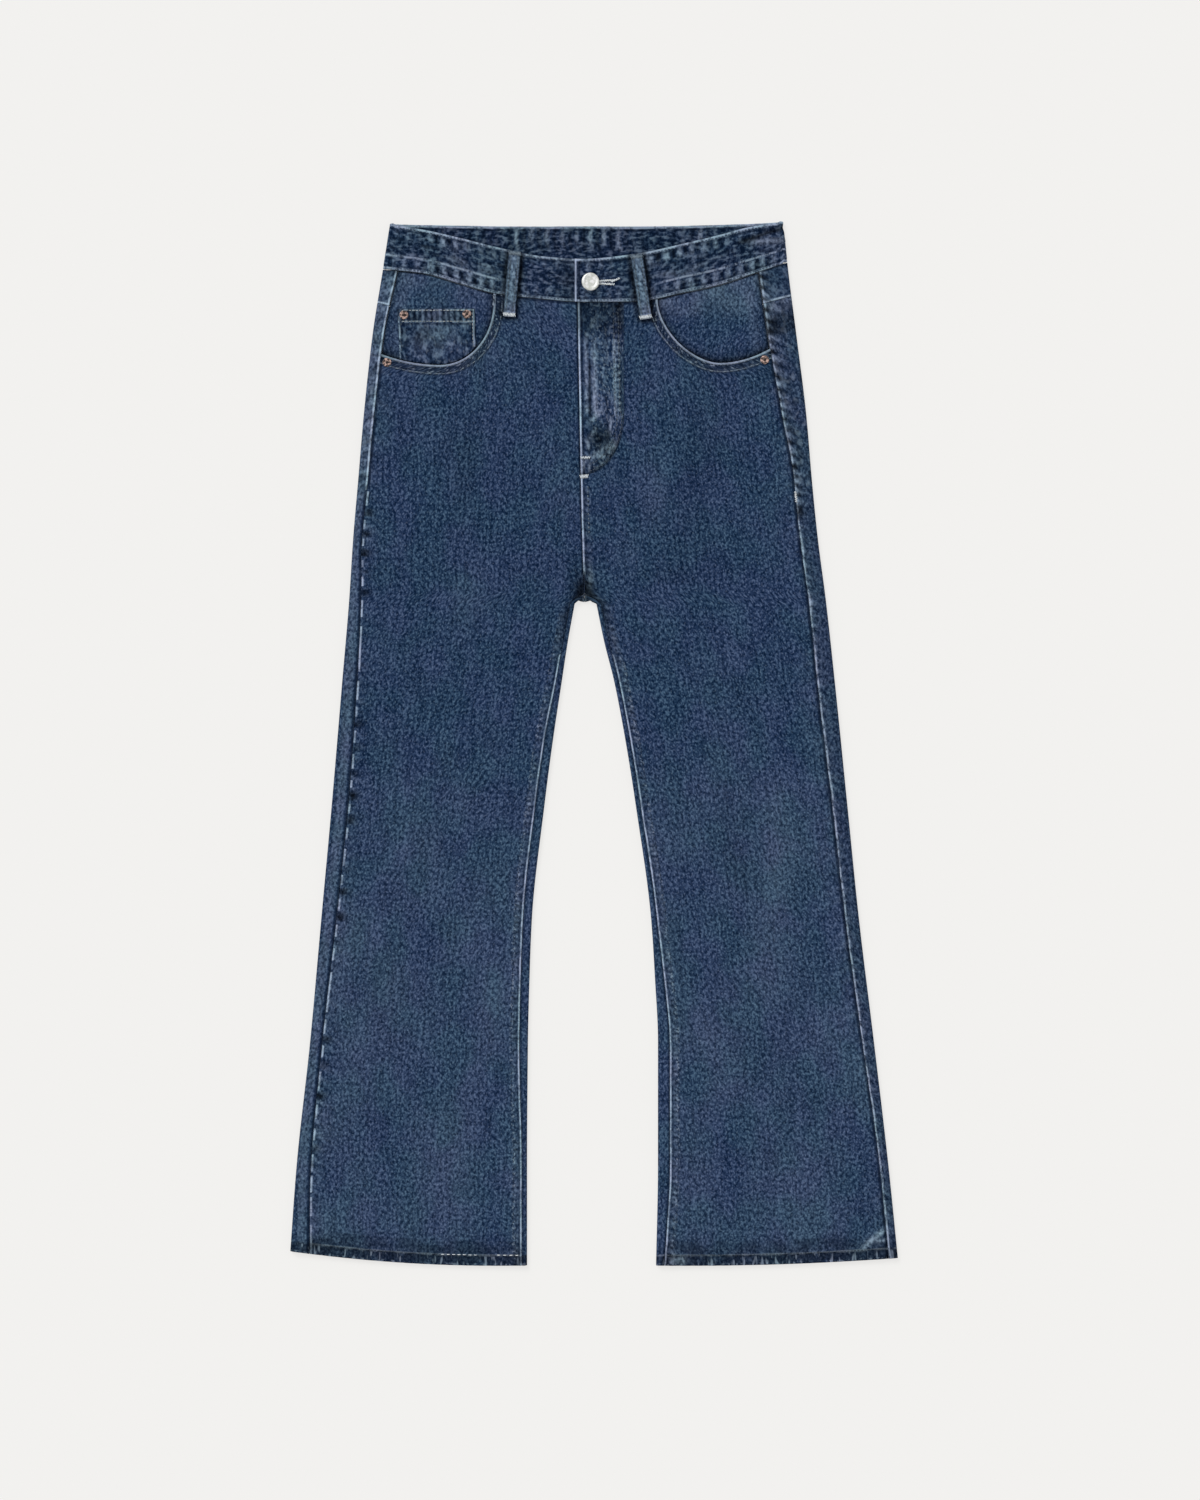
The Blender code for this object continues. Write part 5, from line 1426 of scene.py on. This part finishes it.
def makeWaistband():
    high, offset, depth, face = bandSection()
    points, normal, names = bandPoints(high, offset, depth)
    rise, looks = bandLooks(points[..., 0], points[..., 1], names, high, face)
    outward = np.where(face >= 0, 1.0, -1.0)[:, None]
    points = points + normal * outward * rise[..., None]
    # round both ends: the last stations draw in towards the middle of the strip's thickness
    middle = points - normal * (band["thick"] / 2 - depth)[:, None]
    stations, around = points.shape[:2]
    ends = []
    for index, way in ((0, -1.0), (-1, 1.0)):
        for turn in np.radians((35, 65)):
            drawn = mix(points[index], middle[index], 1 - np.cos(turn))
            drawn[:, 0] += way * band["thick"] / 2 * np.sin(turn) * 0.8
            ends.append((index, drawn))
    first = [ends[1][1], ends[0][1]]
    last = [ends[2][1], ends[3][1]]
    grid = np.concatenate([np.array(first), points, np.array(last)])
    looks = {key: np.concatenate([value[:1], value[:1], value, value[-1:], value[-1:]])
             for key, value in ((k, np.broadcast_to(v, (stations, around))) for k, v in looks.items())}
    endAway = np.concatenate([[-1.5, -0.8], np.arange(stations) * 1.6, [farAway, farAway]])
    looks["endAway"] = endAway[:, None] * np.ones(around)
    rows = len(grid)
    index = np.arange(rows * around).reshape(rows, around)
    nextOne = np.roll(index, -1, 1)
    quads = np.stack([index[:-1], index[1:], nextOne[1:], nextOne[:-1]], -1).reshape(-1, 4)
    half = around // 2
    pairs = np.arange(half)
    caps = []
    for row, flip in ((index[0], False), (index[-1], True)):
        a, b = row[pairs], row[(band["rows"] * 2 + 6 - pairs) % around]
        cap = np.stack([a[:-1], a[1:], b[1:], b[:-1]], -1)
        caps.append(cap[:, ::-1] if flip else cap)
    centreLine = arcLengths(grid.transpose(1, 0, 2))[:1].T
    u = np.broadcast_to(centreLine, (rows, around))
    flat = {key: value.reshape(-1) for key, value in looks.items()}
    across = np.broadcast_to(high * 42 + np.where(face < 0, 60, 0), u.shape)
    flat["weave"] = np.stack([u + 3000, across], -1) * mm
    lines = [
        line("topAway", 0.4, 1.5, 0.85, broken=0.7, wobble=0.9),
        line("topAway", 3.2, 1.6, 0.6, "shadow", broken=0.5),
        line("seamAway", 0.5, 1.3, 0.75, broken=0.8, wobble=1.0),
        line("rowAway", 13.2, 1.4, 0.6, broken=0.9, wobble=1.6),
        line("seamAway", 2.8, 1.4, 0.5, "shadow", broken=0.6),
        line("endAway", 0.0, 1.6, 1.0, broken=0.25, wobble=1.2),
        line("endAway", 3.4, 1.8, 0.7, "shadow", wobble=1.2),
    ]
    material = washedDenim("washedDenimWaistband", lines, tone=0.88, blotch=(7.0, 3.6, 1.7, 0.32))
    piece = makeMesh("waistband_cloth", grid.reshape(-1, 3), [quads] + caps, flat, (material,))
    outerGrid = grid[:, :band["rows"]]
    layFlat(piece, outerGrid.transpose(1, 0, 2), "waistband")


# belt loops

def outerFace(x, y):
    bandZ = pillow(x, y, 1, radius=fold["bandRadius"], loft=fold["bandLoft"])
    bandZ = bandZ + np.where(x > 0, lapShift(x, "over"), 0)
    return mix(pillow(x, y, 1), bandZ, ease((y - seamY(x) + 14) / 8))


def loopRun(name):
    # a loop's two ends, its direction and the direction across it
    top, low = np.array(loops[name]["top"]), np.array(loops[name]["bottom"])
    run = (low - top) / np.linalg.norm(low - top)
    return top, low, run, np.array([-run[1], run[0]])


def makeLoop(name):
    front = loops[name]["sheet"] > 0
    along = np.concatenate([[0, 0.008, 0.02], np.linspace(0.035, 0.965, 46), [0.98, 0.992, 1]])
    half = np.array([0.08, 0.18, 0.28, 0.36, 0.42, 0.47, 0.5])
    across = np.concatenate([-half[::-1], [0.0], half])
    top, low, _, aside = loopRun(name)
    middle = mix(top, low, along[:, None])
    x = middle[:, :1] + across * loopSize["width"] * aside[0]
    y = middle[:, 1:] + across * loopSize["width"] * aside[1]
    length = np.linalg.norm(low - top) * along[:, None]
    edge = loopSize["width"] * (0.5 - np.abs(across))
    rope = wave(length, 4.6, 301)
    grooves = ridge(edge, 2.6, 0.7)
    ends = np.minimum(length, length[-1] - length)
    rise = -0.35 * grooves + 0.3 * ridge(across, 0, 0.1) + 0.12 * rope
    rise = rise - 0.6 * rolled(edge) - 0.25 * ridge(ends, 2.5, 1.2)
    if front:
        room = loopSize["beltRoom"] * np.sin(np.pi * along[:, None]) ** 0.6
        z = outerFace(x, y).max(1, keepdims=True) + seamGap + loopSize["thick"] + room + 0.25 + rise
    else:
        z = -rise * 0.6 + 0.3
    wearAndHighlight = 0.25 * ridge(across, 0.02, 0.12) * (0.6 + 0.4 * rope) + 0.2
    wearAndHighlight = wearAndHighlight + 0.4 * ridge(np.abs(across), 0.3, 0.06)
    shade = 0.3 * grooves + 0.35 * positive(-rope) + 0.9 * ridge(np.abs(across), 0.5, 0.08)
    looks = {"wearAndHighlight": wearAndHighlight, "shade": shade, "edgeAway": edge}
    makeCloth(name, (x, y, z), looks, loopDenim,
              thick=loopSize["thick" if front else "backThick"], flip=not front,
              shift=3900.0, lining=loopDenim)


# sewing thread

thread = {"long": 2.5, "pitch": 3.3, "thick": 0.75, "sink": 0.12}
threadColours = {
    "white": "#e6eaea", "pale": "#b6bdc0", "grey": "#7b8a96",
    "dull": "#55606c", "indigo": "#40526b", "navy": "#1c2c44",
}
stitchPiles = {pile: [] for pile in threadColours}
stitchPoints = 16  # four rings of four corners


def stitchShapes(middles, runs, ups, long, thick):
    # each stitch is a four-sided bead, thin at its ends and bowed a little: rings along it, corners round it
    runs = runs / np.linalg.norm(runs, axis=1, keepdims=True)
    beside = np.cross(ups, runs)
    beside = beside / np.linalg.norm(beside, axis=1, keepdims=True)
    lifts = np.cross(runs, beside)
    at = np.array([-0.5, -0.3, 0.3, 0.5])
    wide = np.array([0.45, 1.0, 1.0, 0.45]) * thick / 2
    high = np.array([-0.3, 0.15, 0.15, -0.3]) * thick
    turns = np.radians([45, 135, 225, 315])
    ring = middles[:, None, None] + runs[:, None, None] * (at * long)[None, :, None, None]
    ring = ring + lifts[:, None, None] * high[None, :, None, None]
    ring = ring + beside[:, None, None] * (wide[:, None] * np.cos(turns))[None, :, :, None]
    ring = ring + lifts[:, None, None] * (wide[:, None] * np.sin(turns))[None, :, :, None]
    return ring.reshape(-1, 3)


def stitchFaces(count):
    quads = []
    for ring in range(3):
        for corner in range(4):
            after = (corner + 1) % 4
            quads.append((ring * 4 + corner, ring * 4 + after, ring * 4 + 4 + after, ring * 4 + 4 + corner))
    quads += [(3, 2, 1, 0), (12, 13, 14, 15)]
    return (np.array(quads)[None] + np.arange(count)[:, None, None] * stitchPoints).reshape(-1, 4)


def sewRow(pile, x, y, surface, seed, pitch=thread["pitch"], long=thread["long"], thick=thread["thick"],
           up=1.0):
    # a row of stitches along the path (x, y), each laid on the surface (x, y) -> z
    along = runLength(x, y)
    count = max(int(along[-1] / pitch), 2)
    random = np.random.default_rng(seed + count)
    at = (np.arange(count) + 0.5) * along[-1] / count
    ends = []
    for shift in (-0.5, 0.5):
        place = np.clip(at + shift * pitch, 0, along[-1])
        ends.append(np.stack([np.interp(place, along, x), np.interp(place, along, y)], -1))
    middles = (ends[0] + ends[1]) / 2 + random.normal(0, 0.09, (count, 2))
    z = surface(middles[:, 0], middles[:, 1])
    runs = np.concatenate([ends[1] - ends[0], np.zeros((count, 1))], 1)
    runs[:, 2] = surface(ends[1][:, 0], ends[1][:, 1]) - surface(ends[0][:, 0], ends[0][:, 1])
    ups = np.tile([0.0, 0.0, up], (count, 1))
    raised = thick * 0.5 - thread["sink"]
    middles = np.concatenate([middles, (z + up * raised)[:, None]], 1)
    stitchPiles[pile].append(stitchShapes(middles, runs, ups, long, thick))


def barTack(pile, centre, direction, long, wide, count, surface, thick=0.7, seed=0):
    # a dense bar: short stitches side by side across its line, leaning by turns
    random = np.random.default_rng(seed)
    direction = np.array(direction, float) / np.hypot(*direction)
    aside = np.array([-direction[1], direction[0]])
    at = np.linspace(-0.5, 0.5, count)
    middles = np.array(centre) + np.outer(at * long, direction) + random.normal(0, 0.1, (count, 2))
    lean = np.where(np.arange(count) % 2, 0.35, -0.35)[:, None]
    runs = np.concatenate([aside + lean * direction, np.zeros((count, 1))], 1)
    z = surface(middles[:, 0], middles[:, 1]) + thick * 0.4
    stitchPiles[pile].append(stitchShapes(
        np.concatenate([middles, z[:, None]], 1), runs, np.tile([0.0, 0.0, 1.0], (count, 1)), wide, thick))


def frontHeight(side):
    return lambda x, y: frontSurface(side, x, y)[0]


def shifted(x, y, away, left=True):
    # the path moved sideways by away
    run = np.stack([np.gradient(x), np.gradient(y)])
    run = run / np.hypot(*run)
    way = 1 if left else -1
    return x - way * away * run[1], y + way * away * run[0]


def stripHeight(x, y):
    return pillow(x, y, 1) + 0.3


def sewFronts():
    for side in ("right", "left"):
        way = wayOf[side]
        height = frontHeight(side)
        lineX, lineY = mouthLine(side)
        lineX, lineY = lineX[2:-3], lineY[2:-3]
        sewRow("dull", *shifted(lineX, lineY, 2.1, left=way > 0), height, seed=1)
        lowerRow = shifted(lineX, lineY, 8.6, left=way > 0)
        sewRow("grey", *lowerRow, height, pitch=6.4, long=3.0, thick=0.9, seed=2)
        hemX = np.linspace(sideSeamX(side, -505.0) - way * 2, inseamX(side, -505.0) + way * 2, 60)
        sewRow("dull", hemX, hemY(hemX) + 10.2, height, seed=3)
        y = np.linspace(128, -492, 160)
        sewRow("indigo", inseamX(side, y) + way * 8.6, y, height, pitch=3.9, long=1.9, thick=0.8, seed=5)
    height = frontHeight("right")
    for start, end in ((-150.0, -113.0), (-96.0, -72.0)):
        x = np.linspace(start, end, 12)
        sewRow("white", x, hemY(x) + 10.4, height, pitch=5.0, long=3.4, thick=0.9, seed=8)
    barTack("white", (196.8, 240.5), (0.12, -1), 10.0, 2.4, 12, stripHeight, thick=0.8, seed=16)
    y = np.linspace(139, 168, 20)
    sewRow("navy", np.full(20, seatX), y, stripHeight, pitch=2.2, long=2.6, thick=0.9, seed=17)
    height = frontHeight("left")
    y = np.linspace(252, 204, 40)
    sewRow("grey", centreX("left", y) + 6.8, y, height, pitch=4.2, long=2.0, thick=1.1, seed=6)


def flyHeight(x, y):
    return flySurface(x, y)[0]


def sewFly():
    f = flyCut
    for inwards, seed in ((1.8, 11), (6.4, 12)):
        top = np.linspace(424, f["y"], 30, endpoint=False)
        turn = np.linspace(0, 0.44 * np.pi, 30)
        scale = 1 - inwards / f["width"]
        curveX = f["x"] + f["width"] * scale * np.cos(turn)
        curveY = f["y"] - f["drop"] * scale * np.sin(turn)
        topX = centreX("left", top) + seamGap / 2 + f["width"] - inwards
        sewRow("dull", np.concatenate([topX, curveX]), np.concatenate([top, curveY]), flyHeight, seed=seed)
    y = np.linspace(426, 268, 60)
    sewRow("indigo", centreX("left", y) + 2.3, y, flyHeight, seed=13)
    barTack("white", (-8.5, 278.6), (1, 0), 8.5, 2.8, 12, flyHeight, thick=0.9, seed=14)
    barTack("white", (-9.5, 260.5), (1, 0.1), 7.0, 4.0, 12, frontHeight("left"), thick=1.0, seed=15)


def coinHeight(x, y):
    return coinSurface(x, y)[0]


def sewCoinPocket():
    p = coinCut
    for down, seed in zip(coin["rows"], (21, 22)):
        x = np.linspace(p["leftX"] + 4, p["rightX"] - 4, 30)
        sewRow("pale", x, np.full(30, p["top"] - down), coinHeight, seed=seed)
    for start, way, seed in ((p["leftX"], 1, 23), (p["rightX"], -1, 24)):
        y = np.linspace(p["top"] - 3, 382 if way > 0 else 386, 20)
        x = start + way * 2.2 + p["slant"] * (p["top"] - y) / 60
        sewRow("pale" if way < 0 else "dull", x, y, coinHeight, seed=seed)


def bandHeight(x, y):
    base = pillow(x, y, 1, radius=fold["bandRadius"], loft=fold["bandLoft"])
    return base + np.where(x > lap["endX"], lapShift(x, "over"), lapShift(x, "under"))


def sewWaistband():
    for line, away, seed in (("seam", 1.9, 31), ("top", -2.2, 32)):
        for start, end in ((-190.0, lap["endX"] - 2), (lap["endX"] + 3, 176.0)):
            x = np.linspace(start, end, 80)
            sewRow("indigo", x, through(waist, line, x, "x") + away, bandHeight, seed=seed)
    y = np.linspace(seamY(lap["endX"]) + 2, through(waist, "top", lap["endX"], "x") - 3, 12)
    sewRow("indigo", np.full(12, lap["endX"] + 2.4), y, bandHeight, seed=33)


buttonhole = {"startX": 3.0, "endX": 19.6, "y": 449.4, "half": 1.5}


def sewButtonhole():
    # short threads fanned round a slit, closest together at the far end
    b = buttonhole
    for way, seed in ((1, 41), (-1, 42)):
        barTack("white", ((b["startX"] + b["endX"]) / 2, b["y"] + way * b["half"]), (1, way * 0.06),
                b["endX"] - b["startX"], 2.3, 20, bandHeight, thick=1.0, seed=seed)
    barTack("white", (b["endX"] + 1.4, b["y"] + 2.2), (1, 0.45), 8.0, 2.2, 9, bandHeight, thick=1.1, seed=43)


def sewLoops():
    for name in ("belt_loop_front_right", "belt_loop_front_left"):
        top, low, run, aside = loopRun(name)

        def height(x, y, top=top, low=low, run=run):
            t = np.clip(((x - top[0]) * run[0] + (y - top[1]) * run[1]) / np.linalg.norm(low - top), 0, 1)
            room = loopSize["beltRoom"] * np.sin(np.pi * t) ** 0.6
            return outerFace(x, y) + seamGap + loopSize["thick"] + room + 0.3

        for end, way, pile, seed in ((top, 1, "grey", 51), (low, -1, "white", 52)):
            barTack(pile, end + run * way * 2.2, aside, 11.0, 4.0, 17, height, thick=0.9, seed=seed)
        for offset, seed in ((-3.4, 53), (3.4, 54)):
            path = mix(top + run * 5, low - run * 5, np.linspace(0, 1, 20)[:, None]) + aside * offset
            sewRow("dull", path[:, 0], path[:, 1], height, seed=seed)


def underside(x, _):
    # the back's rows hang just under the cloth
    return np.full(np.shape(x), 0.62)


def sewBack():
    for side in ("right", "left"):
        way = wayOf[side]
        p = backPocket
        centre = seatX + way * p["centre"]

        for inset, seed in ((2.2, 61), (8.5, 62)):
            topHalf, lowHalf = p["topHalf"] - inset, p["bottomHalf"] - inset
            lowY = p["top"] - p["height"] + inset * 0.3
            x = np.array([-topHalf, -lowHalf, 0, lowHalf, topHalf]) + centre
            y = np.array([p["top"] - 3, lowY, lowY - p["point"] + inset * 0.6, lowY, p["top"] - 3])
            sewRow("dull", x, y, underside, up=-1.0, seed=seed)
        x = np.array([-p["topHalf"] + 4, p["topHalf"] - 4]) + centre
        sewRow("dull", x, np.full(2, p["top"] - 14.0), underside, up=-1.0, seed=63)


def makeStitches():
    sewFronts()
    sewFly()
    sewCoinPocket()
    sewWaistband()
    sewButtonhole()
    sewLoops()
    sewBack()
    for pile, shapes in stitchPiles.items():
        points = np.concatenate(shapes)
        piece = makeMesh("stitches_" + pile, points, [stitchFaces(len(points) // stitchPoints)], None,
                         (cottonThread(pile),))
        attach(piece, "root")


def cottonThread(pile):
    # core-spun cotton sewing thread, faded with the cloth: matt, twisted, uneven in colour
    dark = 0.6 if pile == "white" else 0.36
    shaded = tuple(np.array(linear(threadColours[pile])) * (dark, dark * 1.08, dark * 1.2, 1))
    stops = [(0.36, shaded), (0.66, threadColours[pile])]
    material, _, _ = mottled("cottonThread_" + pile, False, 7.0, 2.0, stops, (0.6, 0.1), 0.5)
    fill(material.node_tree.nodes["Principled BSDF"], {"Roughness": 0.8, "Specular IOR Level": 0.25})
    return material


# button and rivets

def turnedMesh(name, profile, place, tilt, material, replaced, steps=48):
    # a profile of (radius, height) from the top centre to the bottom one, carried round its axis
    radii, heights = np.array(profile, float).T
    around = np.linspace(0, 2 * np.pi, steps, endpoint=False)
    inner = np.stack([radii[1:-1, None] * np.cos(around), radii[1:-1, None] * np.sin(around),
                      heights[1:-1, None] * np.ones(steps)], -1)
    points = np.concatenate([[[0, 0, heights[0]]], inner.reshape(-1, 3), [[0, 0, heights[-1]]]])
    rings = len(radii) - 2
    index = 1 + np.arange(rings * steps).reshape(rings, steps)
    after = np.roll(index, -1, 1)
    quads = np.stack([index[:-1], index[1:], after[1:], after[:-1]], -1).reshape(-1, 4)
    last = len(points) - 1
    caps = np.concatenate([
        np.stack([np.zeros(steps, int), index[0], after[0]], -1),
        np.stack([np.full(steps, last), after[-1], index[-1]], -1)])
    angle = np.radians(tilt)
    turn = np.array([[np.cos(angle), 0, np.sin(angle)], [0, 1, 0], [-np.sin(angle), 0, np.cos(angle)]])
    looks = {"fromAxis": np.hypot(points[:, 0], points[:, 1])}
    piece = makeMesh(name, points @ turn.T + np.array(place), [quads, caps], looks, (material,))
    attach(piece, "root")
    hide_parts(replaced)
    return piece


button = {"x": -4.3, "y": 449.6, "radius": 8.8, "tilt": 12.0, "neck": 2.6}
rivets = columns("x y", [(-185.4, 417.9), (-124.0, 418.6), (-201.8, 371.6), (166.4, 374.0)])
rivetNames = ("rivet_coin_right", "rivet_coin_left", "rivet_pocket_right", "rivet_pocket_left")


def metal(name, colour, dark, roughness, size, metallic, hollow=0.0):
    # worn plated metal: bright where it is rubbed, dull and darker in the hollows and inside a radius
    material, stain, ramp = mottled(name, False, size, 4.0, [(0.42, dark), (0.62, colour)], (0.5, 0.1))
    tree = material.node_tree
    away = node(tree, "Attribute", out="Fac", attribute_name="fromAxis")
    rubbed = node(tree, "MapRange", [away, hollow * 0.7, hollow, 0.0 if hollow else 1.0, 1.0])
    colour = node(tree, "Mix", {0: rubbed, 6: linear(dark), 7: ramp}, out=2, data_type="RGBA")
    rough = node(tree, "MapRange", [stain, 0.3, 0.7, roughness + 0.15, roughness])
    fill(tree.nodes["Principled BSDF"], {"Base Color": colour, "Roughness": rough, "Metallic": metallic})
    return material


def makeButton():
    r, neck = button["radius"], button["neck"]
    # shares of the radius and heights over the neck, from the hollow face over the round rim to its foot
    face = [
        (0, 2.15), (0.2, 2.14), (0.4, 2.1), (0.52, 2.05), (0.6, 2.12), (0.66, 2.4), (0.72, 2.72), (0.8, 2.9),
        (0.88, 2.86), (0.94, 2.6), (0.985, 2.1), (1, 1.4), (0.985, 0.8), (0.93, 0.2), (0.7, 0.05)]
    shank = [(4.2, neck), (3.6, neck - 0.6), (3.6, 0.9), (0.0, 0.9)]
    profile = [(share * r, neck + high) for share, high in face] + shank
    x, y = button["x"], button["y"]
    base = float(bandHeight(np.array([x]), np.array([y]))[0]) + seamGap
    turnedMesh("button_cap", profile, (x, y, base), button["tilt"],
               metal("silveredZamak", "#ffffff", "#d5d8d2", 0.3, 3.0, 0.55), "button")


def makeRivets():
    # a small burr in a hollow, then a collar that slopes down into the cloth
    profile = [
        (0, 1.35), (0.6, 1.32), (1.0, 1.2), (1.3, 0.85), (1.7, 0.7), (2.4, 0.86),
        (3.1, 0.95), (3.7, 0.8), (4.1, 0.5), (4.3, 0.15), (4.2, -0.15), (0, -0.15)]
    copper = metal("antiqueCopper", "#c6a79b", "#2c201e", 0.5, 2.4, 0.35, hollow=1.8)
    for name, x, y in zip(rivetNames, rivets["x"], rivets["y"]):
        height = coinHeight if "coin" in name else frontHeight("right" if x < 0 else "left")
        base = float(height(np.array([x]), np.array([y]))[0]) + 0.15
        turnedMesh(name + "_cap", profile, (x, y, base), 0.0, copper, name, steps=32)


# room

room = {
    "floor": "#f2f1ef", "paint": "#ebeae8", "glow": 0.8, "reach": 4000.0, "floorZ": -0.25,
    "sun": 1.8, "sunWide": 28, "sunTurns": (-34, -30, 0), "world": 0.66, "cameraHigh": 4.5,
}


def makeRoom():
    material, tree, shader = newMaterial("paleFloor")
    fill(shader, {"Base Color": linear(room["paint"]), "Roughness": 1.0, "Specular IOR Level": 0.0})
    glow = node(tree, "Emission", {"Color": linear(room["floor"]), "Strength": 1.0})
    lit = node(tree, "MixShader", [room["glow"], shader.outputs[0], glow])
    behind = node(tree, "NewGeometry", out="Backfacing")
    both = node(tree, "MixShader", [behind, lit, node(tree, "BsdfTransparent")])  # see-through from below
    fill(tree.nodes["Material Output"], [both])
    corners = np.array([[-1, -1, 0], [1, -1, 0], [1, 1, 0], [-1, 1, 0]]) * room["reach"]
    corners[:, 2] = room["floorZ"]
    floor = makeMesh("floor", corners, [np.array([[0, 1, 2, 3]])], None, (material,))

    world = bpy.data.worlds.new("studio")
    world.use_nodes = True
    world.node_tree.nodes["Background"].inputs[0].default_value = (1.0, 1.0, 1.0, 1.0)
    world.node_tree.nodes["Background"].inputs[1].default_value = room["world"]
    bpy.context.scene.world = world
    sun = bpy.data.lights.new("window", "SUN")
    sun.energy = room["sun"]
    sun.angle = np.radians(room["sunWide"])
    lamp = bpy.data.objects.new("window", sun)
    lamp.rotation_euler = np.radians(room["sunTurns"])
    bpy.context.scene.collection.objects.link(lamp)
    bpy.context.scene.view_settings.view_transform = "Standard"

    wide = photo["width"] * photo["mmPerPixel"]
    tall = photo["height"] * photo["mmPerPixel"]
    cameraData = bpy.data.cameras.new("camera")
    cameraData.sensor_width = 36.0
    cameraData.lens = cameraData.sensor_width * room["cameraHigh"] / (tall * mm)
    camera = bpy.data.objects.new("camera", cameraData)
    middleX = (photo["width"] / 2 - photo["originX"]) * photo["mmPerPixel"]
    middleY = (photo["originY"] - photo["height"] / 2) * photo["mmPerPixel"]
    camera.location = (middleX * mm, middleY * mm, room["cameraHigh"] + 0.006)
    bpy.context.scene.collection.objects.link(camera)
    bpy.context.scene.camera = camera
    print("camera sees", round(wide), "x", round(tall), "mm")


loopDenim = washedDenim("washedDenimLoop", blotch=(3.0, 5.0, 1.3, 0.3))
for sideName in ("right", "left"):
    makeFront(sideName)
    makeFacing(sideName)
    makeBack(sideName)
    makeYoke(sideName)
    makeBackPocket(sideName)
    print("panels sewn:", sideName)
makeCoinPocket()
makeFly()
makeWaistband()
for loopName in loops:
    makeLoop(loopName)
print("waistband, fly, coin pocket and loops made")
makeStitches()
print("stitches laid:", {pile: sum(map(len, shapes)) // stitchPoints for pile, shapes in stitchPiles.items()})
makeButton()
makeRivets()
makeRoom()
for pieceName, size in cuts.items():
    print("cut", pieceName, "%d x %d mm, %d cm2" % size)
